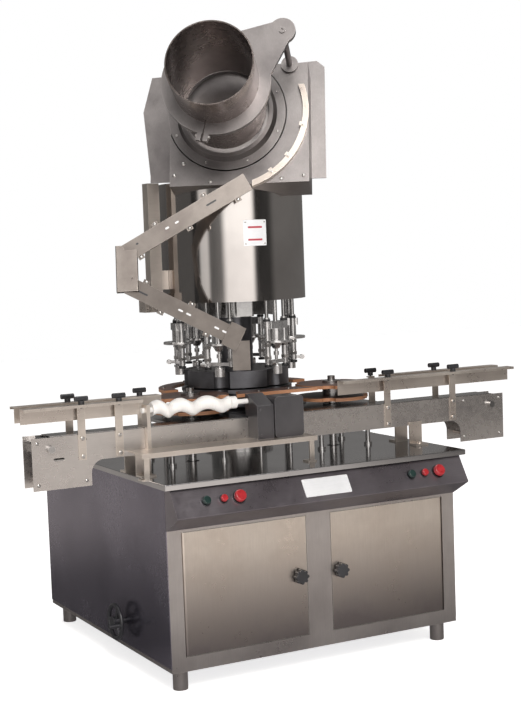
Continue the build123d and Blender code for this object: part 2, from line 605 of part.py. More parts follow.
# ---------------------------------------------------------------- container screw
bearing_x = SCREW_LEFT - 24.0
with BuildPart() as screw_platform:
    block((PLATFORM_LEFT, PLATFORM_RIGHT), (PLATFORM_FRONT, near_plate_y - 0.2),
          (PLATFORM_TOP - PLATFORM_SHEET, PLATFORM_TOP))
    block((PLATFORM_LEFT, PLATFORM_RIGHT), (PLATFORM_FRONT, PLATFORM_FRONT + 3.0),
          (PLATFORM_TOP - 16.0, PLATFORM_TOP))
    # legs of the platform and the upright that carries the screw's left bearing
    for x in (PLATFORM_LEFT + 8.0, PLATFORM_RIGHT - 30.0):
        block((x, x + 18.0), (PLATFORM_FRONT + 3.0, PLATFORM_FRONT + 9.0),
              (TABLE_TOP, PLATFORM_TOP - PLATFORM_SHEET))
        block((x - 8.0, x + 26.0), (PLATFORM_FRONT + 3.0, PLATFORM_FRONT + 40.0),
              (TABLE_TOP, TABLE_TOP + 5.0))
    bearing_sides = (bearing_x - 6.0, bearing_x + 6.0)
    block(bearing_sides, (screw_y - 26.0, near_plate_y - 1.0), (PLATFORM_TOP, SCREW_Z + 20.0))
    block(bearing_sides, (near_plate_y - 2.0, screw_y + 14.0), (DECK + 6.0, SCREW_Z + 20.0))
    bar((bearing_x - 10.0, screw_y, SCREW_Z), (bearing_x + 10.0, screw_y, SCREW_Z),
        9.0 + CLEARANCE, Mode.SUBTRACT)
pieces["screw_platform"] = screw_platform

screw_core = (SCREW_RADIUS + SCREW_ROOT) / 2
screw_throw = (SCREW_RADIUS - SCREW_ROOT) / 2
stations = [SCREW_LEFT]
for pitch in SCREW_PITCHES:
    stations += [stations[-1] + pitch * (step + 1) / SCREW_STEPS for step in range(SCREW_STEPS)]
screw_end = stations[-1]
hub_end = screw_end + 22.0
with BuildPart() as timing_screw:
    # a round section thrown off centre and carried round, whose pitch opens out along the screw
    for number, station in enumerate(stations):
        turn = radians(360.0 * number / SCREW_STEPS)
        centre = (station, screw_y + screw_throw * cos(turn), SCREW_Z + screw_throw * sin(turn))
        with BuildSketch(Plane(origin=centre, x_dir=(0, 1, 0), z_dir=(1, 0, 0))):
            Circle(screw_core)
    loft()
    bar((screw_end, screw_y, SCREW_Z), (hub_end, screw_y, SCREW_Z), 21.0)
    bar((bearing_x - 14.0, screw_y, SCREW_Z), (SCREW_LEFT, screw_y, SCREW_Z), 9.0)
    bar((hub_end, screw_y, SCREW_Z), (hub_end + 74.0, screw_y, SCREW_Z), 9.0)
pieces["timing_screw"] = timing_screw

gear_x = hub_end + 46.0
with BuildPart() as screw_gearbox:
    # angle casing over the drive, its sloping lid and a tall round-topped guard beside it
    gear_sides = (gear_x, gear_x + 62.0)
    block(gear_sides, (PLATFORM_FRONT + 48.0, near_plate_y - 1.0), (PLATFORM_TOP, SCREW_Z - 12.0))
    block(gear_sides, (near_plate_y - 2.0, near_rail_y - 1.0), (DECK + 4.0, SCREW_Z - 12.0))
    with BuildSketch(Plane.YZ.offset(gear_x)):
        with BuildLine():
            Polyline((PLATFORM_FRONT + 48.0, SCREW_Z - 12.0), (near_rail_y - 1.0, SCREW_Z - 12.0),
                     (near_rail_y - 1.0, SCREW_Z + 24.0), (near_rail_y - 14.0, SCREW_Z + 24.0), close=True)
        make_face()
    extrude(amount=62.0)
    bar((gear_x - 1.0, screw_y, SCREW_Z), (gear_x + 40.0, screw_y, SCREW_Z),
        9.0 + CLEARANCE, Mode.SUBTRACT)
    for z in (PLATFORM_TOP + 14.0, SCREW_Z - 26.0):
        bar((gear_x + 12.0, PLATFORM_FRONT + 48.0, z), (gear_x + 12.0, PLATFORM_FRONT + 44.0, z), 4.0)
    guard_x = (gear_x + 64.0, gear_x + 176.0)
    with BuildSketch(Plane.XZ.offset(-(near_plate_y - 1.0))):
        with Locations(((guard_x[0] + guard_x[1]) / 2, (PLATFORM_TOP + SCREW_Z + 14.0) / 2)):
            guard = Rectangle(guard_x[1] - guard_x[0], SCREW_Z + 14.0 - PLATFORM_TOP)
        fillet(guard.vertices().group_by(Axis.Z)[-1], 14.0)
    extrude(amount=near_plate_y - 1.0 - PLATFORM_FRONT - 40.0)
pieces["screw_gearbox"] = screw_gearbox

# ---------------------------------------------------------------- guides and decks round the turret
outer_path = PITCH_RADIUS + CONTAINER_RADIUS + RAIL_CLEARANCE
star_path = star_pitch_radius + CONTAINER_RADIUS + RAIL_CLEARANCE
GUIDE_Z = (923.0, 935.0)
far_guide_y = far_rail_y
guide_post_x = (-60.0, 60.0)
guide_post_y = far_plate_y + CONVEYOR_PLATE + 13.0
with BuildPart() as guide_plate:
    # front piece: fills the space between the straight run, the turret path and both star paths
    with BuildSketch(Plane.XY.offset(GUIDE_Z[0])):
        with Locations((0.0, far_guide_y + 45.0)):
            Rectangle(2 * star_x - 60.0, 90.0)
        with Locations(turret_centre):
            Circle(outer_path, mode=Mode.SUBTRACT)
        with Locations((-star_x, star_y), (star_x, star_y)):
            Circle(star_path, mode=Mode.SUBTRACT)
    extrude(amount=GUIDE_Z[1] - GUIDE_Z[0])
    # rear piece: a ring sector behind the turret
    with BuildSketch(Plane.XY.offset(GUIDE_Z[0])):
        with Locations(turret_centre):
            Circle(outer_path + 52.0)
            Circle(outer_path, mode=Mode.SUBTRACT)
        with Locations((0.0, CABINET_Y - 400.0)):
            Rectangle(1000.0, 800.0, mode=Mode.SUBTRACT)
    extrude(amount=GUIDE_Z[1] - GUIDE_Z[0])
    for angle in (20.0, 70.0, 110.0, 160.0):
        reach = outer_path + 34.0
        place = (reach * cos(radians(angle)), CABINET_Y + reach * sin(radians(angle)))
        post(place, 9.0, TABLE_TOP, GUIDE_Z[0])
        post(place, 16.0, TABLE_TOP, TABLE_TOP + 8.0)
        post(place, 7.0, GUIDE_Z[1], GUIDE_Z[1] + 5.0)
    for x in guide_post_x:
        post((x, guide_post_y), 8.0, TABLE_TOP, GUIDE_Z[0])
        post((x, guide_post_y), 6.0, GUIDE_Z[1], GUIDE_Z[1] + 5.0)
pieces["guide_plate"] = guide_plate

DECK_PLATE = 10.0
deck_bottom = DECK - 1.0 - DECK_PLATE
with BuildPart() as transfer_deck:
    with BuildSketch(Plane.XY.offset(deck_bottom)):
        deck_front = far_plate_y + CONVEYOR_PLATE + BRACKET_SHEET + 5.0
        deck_back = star_y + star_pitch_radius
        with Locations((0.0, (deck_front + deck_back) / 2)):
            Rectangle(2 * (star_x + star_pitch_radius), deck_back - deck_front)
        with Locations(turret_centre):
            Circle(carrier_radius + 3.0, mode=Mode.SUBTRACT)
        with Locations((-star_x, star_y), (star_x, star_y)):
            Circle(24.0, mode=Mode.SUBTRACT)
        with Locations(*[(x, guide_post_y) for x in guide_post_x]):
            Circle(9.0, mode=Mode.SUBTRACT)
    extrude(amount=DECK_PLATE)
    for side in (-1, 1):
        for x, y in ((star_x + 110.0, deck_front + 20.0), (star_x - 90.0, deck_front + 20.0),
                     (star_x + 110.0, deck_back - 20.0)):
            post((side * x, y), 9.0, TABLE_TOP, deck_bottom)
            post((side * x, y), 15.0, TABLE_TOP, TABLE_TOP + 10.0)
    # bearing housing of the turret on the table
    post(turret_centre, 128.0, TABLE_TOP, TABLE_TOP + 16.0)
    post(turret_centre, 104.0, TABLE_TOP, deck_bottom - 30.0)
    post(turret_centre, COLUMN_RADIUS + CLEARANCE, TABLE_TOP - 1.0, deck_bottom, Mode.SUBTRACT)
pieces["transfer_deck"] = transfer_deck


def make_transfer_star(side):
    """Two pocketed plates on a shaft that ends in a gear blank inside the cabinet."""
    centre = (side * star_x, star_y)
    # a pocket faces the point where this star meets the turret
    facing = degrees(atan2(CABINET_Y - star_y, -centre[0]))
    with BuildPart() as star:
        for level in STAR_PLATE_LEVELS:
            with BuildSketch(Plane.XY.offset(level)):
                with Locations(centre):
                    Circle(star_rim)
                    with PolarLocations(star_pitch_radius, STAR_POCKETS, start_angle=facing):
                        Circle(pocket_radius, mode=Mode.SUBTRACT)
            extrude(amount=STAR_PLATE)
        post(centre, 34.0, DECK + 2.0, STAR_PLATE_LEVELS[1] + STAR_PLATE + 10.0)
        post(centre, 14.0, 590.0, STAR_PLATE_LEVELS[1] + STAR_PLATE + 26.0)
        post(centre, star_pitch_radius - 1.0, 600.0, 620.0)
    return star


pieces["infeed_star"] = make_transfer_star(-1)
pieces["discharge_star"] = make_transfer_star(1)

# ---------------------------------------------------------------- turret
with BuildPart() as turret_column:
    post(turret_centre, COLUMN_RADIUS, 560.0, COLUMN_TOP)
    # container platform
    post(turret_centre, carrier_radius, DECK - 9.0, DECK - 1.0)
    post(turret_centre, 96.0, DECK - 1.0, HUB_BOTTOM)
    for level in STAR_PLATE_LEVELS:
        post(turret_centre, PITCH_RADIUS - STAR_MARGIN, level, level + STAR_PLATE)
    post(turret_centre, hub_radius, HUB_BOTTOM, HUB_TOP)
    for angle in head_angles:
        place = (PITCH_RADIUS * cos(radians(angle)), CABINET_Y + PITCH_RADIUS * sin(radians(angle)))
        post(place, pocket_radius, STAR_PLATE_LEVELS[0] - 1.0, HUB_BOTTOM, Mode.SUBTRACT)
        post(place, pocket_radius + 10.0, HUB_BOTTOM, HUB_TOP + 1.0, Mode.SUBTRACT)
    # gear blank in the cabinet and the bore for the lifting column
    post(turret_centre, PITCH_RADIUS - 1.0, 600.0, 625.0)
    post(turret_centre, LIFT_RADIUS + CLEARANCE, 559.0, COLUMN_TOP + 1.0, Mode.SUBTRACT)
pieces["turret_column"] = turret_column

ROTOR_BORE = COLUMN_RADIUS + CLEARANCE
ROTOR_WALL = 9.0
ROTOR_DISC = 12.0
ROTOR_DISC_RADIUS = 234.0
ROD_END = 1012.0
rotor_disc_z = DRUM_BOTTOM + 14.0
with BuildPart() as upper_rotor:
    post(turret_centre, ROTOR_BORE + ROTOR_WALL, 1190.0, 1490.0)
    for z in (rotor_disc_z, 1420.0):
        post(turret_centre, ROTOR_DISC_RADIUS, z, z + ROTOR_DISC)
    for angle in head_angles:
        radial = Plane(origin=(0, CABINET_Y, 0), x_dir=(cos(radians(angle)), sin(radians(angle)), 0),
                       z_dir=(0, 0, 1))
        for spread in (-GUIDE_SPREAD, GUIDE_SPREAD):
            place = radial.from_local_coords((PITCH_RADIUS, spread, 0))
            post((place.X, place.Y), GUIDE_ROD_RADIUS, ROD_END, 1420.0)
        lift_rod = radial.from_local_coords((PITCH_RADIUS, 0, 0))
        post((lift_rod.X, lift_rod.Y), 9.0, rotor_disc_z - 1.0, rotor_disc_z + ROTOR_DISC + 1.0,
             Mode.SUBTRACT)
        # hanging plate between two heads
        between = Plane(origin=(0, CABINET_Y, 0), z_dir=(0, 0, 1),
                        x_dir=(cos(radians(angle + 180.0 / HEAD_COUNT)),
                               sin(radians(angle + 180.0 / HEAD_COUNT)), 0))
        with Locations(between.location):
            with Locations((152.0, 0, (1196.0 + rotor_disc_z) / 2)):
                Box(8.0, 56.0, rotor_disc_z - 1196.0)
                with Locations((-42.0, 0, 0)):
                    Box(78.0, 8.0, rotor_disc_z - 1196.0)
    post(turret_centre, ROTOR_BORE, 1189.0, 1491.0, Mode.SUBTRACT)
pieces["upper_rotor"] = upper_rotor

BODY_TOP = HEAD_PLATE_Z + HEAD_PLATE + 42.0
YOKE_Z = 1030.0
for number, angle in enumerate(head_angles, 1):
    turn = (cos(radians(angle)), sin(radians(angle)))
    seat = Plane(origin=(PITCH_RADIUS * turn[0], CABINET_Y + PITCH_RADIUS * turn[1], 0),
                 x_dir=(turn[0], turn[1], 0), z_dir=(0, 0, 1))
    with BuildPart() as head:
        with BuildSketch(seat.offset(HEAD_PLATE_Z)):
            Circle(HEAD_PLATE_RADIUS)
        extrude(amount=HEAD_PLATE)
        fillet(head.edges(), 2.0)
        with BuildSketch(seat.offset(YOKE_Z - 8.0)):
            with Locations((0, -GUIDE_SPREAD), (0, GUIDE_SPREAD)):
                Circle(GUIDE_TUBE_RADIUS)
        extrude(amount=1190.0 - YOKE_Z + 8.0)
        # drive body over the plate, clamp block and the rod that follows the cam
        with BuildSketch(seat.offset(HEAD_PLATE_Z + HEAD_PLATE)):
            Circle(25.0)
        extrude(amount=BODY_TOP - HEAD_PLATE_Z - HEAD_PLATE)
        with BuildSketch(seat.offset(BODY_TOP)):
            RectangleRounded(44.0, 2 * GUIDE_SPREAD, 4.0)
        extrude(amount=26.0)
        with BuildSketch(seat.offset(BODY_TOP + 26.0)):
            Circle(8.0)
        extrude(amount=1340.0 - BODY_TOP - 26.0)
        with Locations(seat.location):
            with Locations((0, 0, 1330.0)):
                Cylinder(9.5, 22.0, rotation=(0, 90, 0), align=(Align.CENTER, Align.CENTER, Align.MIN))
            # bearing cone, yoke between the tubes and the side roller arm
            with Locations((0, 0, HEAD_PLATE_Z)):
                Cone(12.0, 25.0, 22.0, align=(Align.CENTER, Align.CENTER, Align.MAX))
            with Locations((0, 0, YOKE_Z)):
                Box(16.0, 2 * GUIDE_SPREAD, 12.0)
            with Locations((16.0, -GUIDE_SPREAD, YOKE_Z)):
                Box(34.0, 9.0, 11.0)
            with Locations((30.0, -GUIDE_SPREAD - 8.0, YOKE_Z)):
                Cylinder(9.0, 16.0, rotation=(90, 0, 0))
        with BuildSketch(seat.offset(YOKE_Z - 9.0)):
            with Locations((0, -GUIDE_SPREAD), (0, GUIDE_SPREAD)):
                Circle(GUIDE_ROD_RADIUS + CLEARANCE)
        extrude(amount=1195.0 - YOKE_Z + 9.0, mode=Mode.SUBTRACT)
        with BuildSketch(seat.offset(YOKE_Z - 9.0)):
            Circle(SPINDLE_RADIUS + CLEARANCE)
        extrude(amount=BODY_TOP - YOKE_Z + 9.0 - 12.0, mode=Mode.SUBTRACT)
    pieces[f"capping_head_{number}"] = head
    with BuildPart() as spindle:
        with BuildSketch(seat.offset(CHUCK_BOTTOM)):
            Circle(CHUCK_RADIUS)
        extrude(amount=CHUCK_TOP - CHUCK_BOTTOM)
        fillet(spindle.faces().sort_by(Axis.Z)[-1].edges(), 4.0)
        with BuildSketch(seat.offset(CHUCK_BOTTOM)):
            Circle(CHUCK_RADIUS - 5.0)
        extrude(amount=14.0, mode=Mode.SUBTRACT)
        with BuildSketch(seat.offset(CHUCK_BOTTOM + 20.0)):
            Circle(SPINDLE_RADIUS)
        extrude(amount=BODY_TOP - 20.0 - CHUCK_BOTTOM - 20.0)
        with BuildSketch(seat.offset(1052.0)):
            Circle(10.0)
        extrude(amount=14.0)
    pieces[f"chuck_spindle_{number}"] = spindle

with BuildPart() as drum_cover:
    post(turret_centre, DRUM_RADIUS, DRUM_BOTTOM, DRUM_TOP)
    fillet(drum_cover.faces().sort_by(Axis.Z)[-1].edges(), 3.0)
    post(turret_centre, DRUM_RADIUS - DRUM_SHEET, DRUM_BOTTOM - 1.0, DRUM_TOP - 8.0, Mode.SUBTRACT)
    post(turret_centre, LIFT_RADIUS, DRUM_TOP - 9.0, DRUM_TOP + 1.0, Mode.SUBTRACT)
pieces["drum_cover"] = drum_cover

cam_level = (1300.0, 1380.0)
post_x = (-DRUM_RADIUS - SIDE_POST_GAP - SIDE_POST_WIDTH, -DRUM_RADIUS - SIDE_POST_GAP)
post_y = (CABINET_Y - SIDE_POST_DEPTH / 2, CABINET_Y + SIDE_POST_DEPTH / 2)
with BuildPart() as lift_column:
    # cam ring fixed in the drum
    post(turret_centre, DRUM_RADIUS - DRUM_SHEET - CLEARANCE, *cam_level)
    post(turret_centre, CAM_BORE, cam_level[0] - 1.0, cam_level[1] + 1.0, Mode.SUBTRACT)
    post(turret_centre, LIFT_RADIUS, 210.0, DRUM_TOP)
    # side post outside the drum, its clamp bar and the sensor box at its foot
    block(post_x, post_y, (SIDE_POST_BOTTOM, DRUM_TOP + 2.0))
    block((post_x[1] - 1.0, -DRUM_RADIUS - CLEARANCE), (CABINET_Y - 14.0, CABINET_Y + 14.0),
          (cam_level[0] + 4.0, cam_level[1] - 8.0))
    block((post_x[0] - 29.0, post_x[1] + 12.0), (post_y[0] - 6.0, post_y[1] + 6.0),
          (SIDE_POST_BOTTOM - SENSOR_BOX, SIDE_POST_BOTTOM))
pieces["lift_column"] = lift_column

# ---------------------------------------------------------------- cap feeder
yaw = radians(FEEDER_YAW)
tilt = radians(FEEDER_TILT)
feeder_right = Vector(cos(yaw), -sin(yaw), 0)
feeder_out = Vector(-sin(yaw) * cos(tilt), -cos(yaw) * cos(tilt), sin(tilt))
feeder_origin = (Vector(0, CABINET_Y, FEEDER_Z) + Vector(-sin(yaw), -cos(yaw), 0) * FEEDER_FORWARD
                 + feeder_right * FEEDER_SIDE)
feeder = Plane(origin=feeder_origin, x_dir=feeder_right, z_dir=feeder_out)

rib_up = 1.0 if Plane(origin=(0, 0, 0), x_dir=-feeder_out, z_dir=feeder_right).y_dir.Z > 0 else -1.0
with BuildPart() as feeder_housing:
    # face plate with the round opening of the disc
    with BuildSketch(feeder):
        with Locations(((FACE_LEFT + FACE_RIGHT) / 2, (FACE_BOTTOM + FACE_TOP) / 2)):
            Rectangle(FACE_RIGHT - FACE_LEFT, FACE_TOP - FACE_BOTTOM)
    extrude(amount=-HOUSING_DEPTH)
    with BuildSketch(feeder.offset(-FACE_PLATE)):
        with Locations(((FACE_LEFT + FACE_RIGHT) / 2, (FACE_BOTTOM + FACE_TOP) / 2)):
            Rectangle(FACE_RIGHT - FACE_LEFT - 6.0, FACE_TOP - FACE_BOTTOM - 6.0)
    extrude(amount=-HOUSING_DEPTH, mode=Mode.SUBTRACT)
    with BuildSketch(feeder):
        Circle(FEEDER_BORE_RADIUS)
    extrude(amount=-FACE_PLATE - 1.0, mode=Mode.SUBTRACT)
    # back plate, wider than the face, with folded edges
    with BuildSketch(feeder.offset(-HOUSING_DEPTH)):
        with BuildLine():
            Polyline((-300.0, -167.0), (-300.0, -190.0), (338.0, -198.0), (338.0, 225.0), (310.0, 250.0),
                     (-246.0, 217.0), (-298.0, 214.0), (-329.0, 80.0), close=True)
        make_face()
    extrude(amount=-BACK_PLATE)
    # the housing stands on the drum, held by two upright gussets behind it
    post(turret_centre, DRUM_RADIUS + 2.0, DRUM_TOP - 160.0, DRUM_TOP, Mode.SUBTRACT)
    for side in (-150.0, 150.0):
        rib = Plane(origin=feeder_origin + feeder_right * (side - 4.0), x_dir=-feeder_out,
                    z_dir=feeder_right)
        rear = HOUSING_DEPTH + BACK_PLATE

        def foot(distance):
            """Height in the rib's plane that lies on the drum's top."""
            point = rib.from_local_coords((distance, 0, 0))
            return (DRUM_TOP - point.Z) / rib.y_dir.Z

        with BuildSketch(rib):
            with BuildLine():
                Polyline((rear, foot(rear)), (rear + 176.0, foot(rear + 176.0)),
                         (rear + 20.0, 120.0 * rib_up), (rear, 120.0 * rib_up), close=True)
            make_face()
        extrude(amount=8.0)
    # bearing boss of the disc shaft, with the drive motor behind it
    with BuildSketch(feeder.offset(-HOUSING_DEPTH + 40.0)):
        Circle(48.0)
    extrude(amount=-40.0)
    with BuildSketch(feeder.offset(-HOUSING_DEPTH - BACK_PLATE)):
        Circle(62.0)
    extrude(amount=-120.0)
    with BuildSketch(feeder.offset(-HOUSING_DEPTH + 41.0)):
        Circle(15.0 + CLEARANCE)
    extrude(amount=-60.0, mode=Mode.SUBTRACT)
pieces["feeder_housing"] = feeder_housing

with BuildPart() as feeder_disc:
    with BuildSketch(feeder.offset(-FACE_PLATE)):
        Circle(FEEDER_DISC_RADIUS)
    extrude(amount=FACE_PLATE + 4.0)
    # raised bevelled ring and the shallow agitating cone
    with Locations(feeder.offset(4.0).location):
        Cone(178.0, 166.0, 20.0, align=(Align.CENTER, Align.CENTER, Align.MIN))
        Cylinder(152.0, 60.0, mode=Mode.SUBTRACT, align=(Align.CENTER, Align.CENTER, Align.MIN))
        Cone(151.0, 40.0, 14.0, align=(Align.CENTER, Align.CENTER, Align.MIN))
        Cylinder(40.0, 20.0, align=(Align.CENTER, Align.CENTER, Align.MIN))
    with BuildSketch(feeder.offset(-FACE_PLATE)):
        Circle(15.0)
    extrude(amount=-HOUSING_DEPTH + 20.0)
pieces["feeder_disc"] = feeder_disc

with BuildPart() as hopper_tube:
    with BuildSketch(feeder.offset(TUBE_START)):
        Circle(TUBE_RADIUS)
        Circle(TUBE_RADIUS - TUBE_SHEET, mode=Mode.SUBTRACT)
    extrude(amount=TUBE_END - TUBE_START)
pieces["hopper_tube"] = hopper_tube

lug_angle = 256.5
lug_direction = (cos(radians(lug_angle)), sin(radians(lug_angle)))
with BuildPart() as tube_clamp:
    with BuildSketch(feeder.offset(CLAMP_START)):
        Circle(TUBE_RADIUS + CLAMP_WIDTH)
        # arm that widens into the ring and ends in a round boss
        reach = hypot(*BOSS)
        arm_angle = degrees(atan2(BOSS[1], BOSS[0]))
        with Locations(BOSS):
            Circle(BOSS_RADIUS)
        with BuildLine():
            direction = (cos(radians(arm_angle)), sin(radians(arm_angle)))
            across = (-direction[1], direction[0])
            root = TUBE_RADIUS * 0.5
            Polyline(*[(root * direction[0] + s * 150.0 * across[0] * 0.9,
                        root * direction[1] + s * 150.0 * across[1] * 0.9) for s in (1, -1)],
                     *[(reach * direction[0] + s * BOSS_RADIUS * 0.92 * across[0],
                        reach * direction[1] + s * BOSS_RADIUS * 0.92 * across[1]) for s in (-1, 1)],
                     close=True)
        make_face()
        for side in (-1, 1):
            with Locations(Location(((TUBE_RADIUS + CLAMP_WIDTH + 8.0) * lug_direction[0]
                                     - side * 12.0 * lug_direction[1],
                                     (TUBE_RADIUS + CLAMP_WIDTH + 8.0) * lug_direction[1]
                                     + side * 12.0 * lug_direction[0]), lug_angle)):
                Rectangle(34.0, 16.0)
        Circle(TUBE_RADIUS, mode=Mode.SUBTRACT)
        with Locations(Location(((TUBE_RADIUS + 30.0) * lug_direction[0],
                                 (TUBE_RADIUS + 30.0) * lug_direction[1]), lug_angle)):
            Rectangle(80.0, 5.0, mode=Mode.SUBTRACT)
    extrude(amount=CLAMP_THICKNESS)
    # spacer rod back to the face plate, with its flange and the bolt in the boss
    with BuildSketch(feeder.offset(0.2)):
        with Locations(BOSS):
            Circle(10.5)
    extrude(amount=CLAMP_START - 0.2)
    with BuildSketch(feeder.offset(0.2)):
        with Locations(BOSS):
            Circle(30.0)
    extrude(amount=12.0)
    with BuildSketch(feeder.offset(CLAMP_START + CLAMP_THICKNESS)):
        with Locations(BOSS):
            Circle(11.0)
            RegularPolygon(5.0, 6, mode=Mode.SUBTRACT)
    extrude(amount=5.0)
pieces["tube_clamp"] = tube_clamp

with BuildPart() as cap_track:
    # curved outer rail round the right side of the disc
    with BuildSketch(feeder.offset(0.2)):
        Circle(TRACK_OUTER)
        Circle(TRACK_INNER, mode=Mode.SUBTRACT)
        with Locations((-TRACK_OUTER, 0)):
            Rectangle(2 * TRACK_OUTER + 180.0, 3 * TRACK_OUTER, mode=Mode.SUBTRACT)
        with Locations((0, TRACK_OUTER + 92.0)):
            Rectangle(3 * TRACK_OUTER, 2 * TRACK_OUTER, mode=Mode.SUBTRACT)
    extrude(amount=20.0)
    for angle in (-12.0, -38.0, -55.0):
        place = ((TRACK_INNER + 4.0) * cos(radians(angle)), (TRACK_INNER + 4.0) * sin(radians(angle)))
        with BuildSketch(feeder.offset(20.2)):
            with Locations(Location(place, angle)):
                Rectangle(22.0, 14.0)
        extrude(amount=3.0)
pieces["cap_track"] = cap_track

# ---------------------------------------------------------------- cap chute
chute_start = feeder.from_local_coords((75.0, -262.0, 26.0))
chute_bend = feeder.from_local_coords((-348.0, -505.0, 26.0))
chute_turn = chute_bend + Vector(-14.0, -30.0, -108.0)
chute_end = Vector(-119.0, -258.0, 1122.0)


def chute_plane(start, end, facing):
    """Plane at the start of a run: z along the run, x across the flat channel."""
    along = (end - start).normalized()
    depth = (facing - along * facing.dot(along)).normalized()
    return Plane(origin=start, x_dir=along.cross(depth), z_dir=along), (end - start).length


facing = Vector(-0.47, -0.88, 0.1)
with BuildPart() as cap_chute:
    for start, end, ears in ((chute_start, chute_bend, 5), (chute_turn, chute_end, 5)):
        plane, length = chute_plane(start, end, facing)
        with BuildSketch(plane):
            Rectangle(CHUTE_WIDTH, CHUTE_DEPTH)
        extrude(amount=length)
        with BuildSketch(plane.offset(-1.0)):
            Rectangle(CHUTE_WIDTH - 6.0, CHUTE_DEPTH - 6.0)
        extrude(amount=length + 2.0, mode=Mode.SUBTRACT)
        # screw ears along both edges
        for n in range(ears):
            with BuildSketch(plane.offset(length * (n + 0.5) / ears)):
                with Locations(((CHUTE_WIDTH / 2 + 5.0) * (1 if n % 2 else -1), 0)):
                    Rectangle(16.0, CHUTE_DEPTH - 6.0)
            extrude(amount=22.0)
    # twisted elbow between the two runs, wider than both
    elbow, elbow_length = chute_plane(chute_bend, chute_turn, facing)
    with BuildSketch(elbow.offset(-ELBOW_LAP)):
        RectangleRounded(CHUTE_WIDTH + 14.0, CHUTE_DEPTH + 4.0, 3.0)
    extrude(amount=elbow_length + 2 * ELBOW_LAP)
    # ear under the lower run, by which it is bolted to the drop plate
    lower, lower_length = chute_plane(chute_turn, chute_end, facing)
    with BuildSketch(lower.offset(lower_length - 60.0)):
        with Locations((0, -CHUTE_DEPTH / 2 - 2.0)):
            Rectangle(CHUTE_WIDTH + 24.0, 5.0)
    extrude(amount=58.0)
    # drop plate at the lower end
    with BuildSketch(Plane(origin=chute_end + Vector(0, 0, -4.0), x_dir=(0.88, -0.47, 0), z_dir=(0, 0, -1))):
        Rectangle(CHUTE_WIDTH, 8.0)
    extrude(amount=104.0)
pieces["cap_chute"] = cap_chute

# ---------------------------------------------------------------- write the pieces
os.makedirs("parts", exist_ok=True)
for name, piece in pieces.items():
    piece.part.label = name
    export_step(piece.part, f"parts/{name}.step")
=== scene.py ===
"""Looks of a rotary capping machine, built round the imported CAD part."""
import math

import bmesh
import bpy
from mathutils import Matrix, Vector


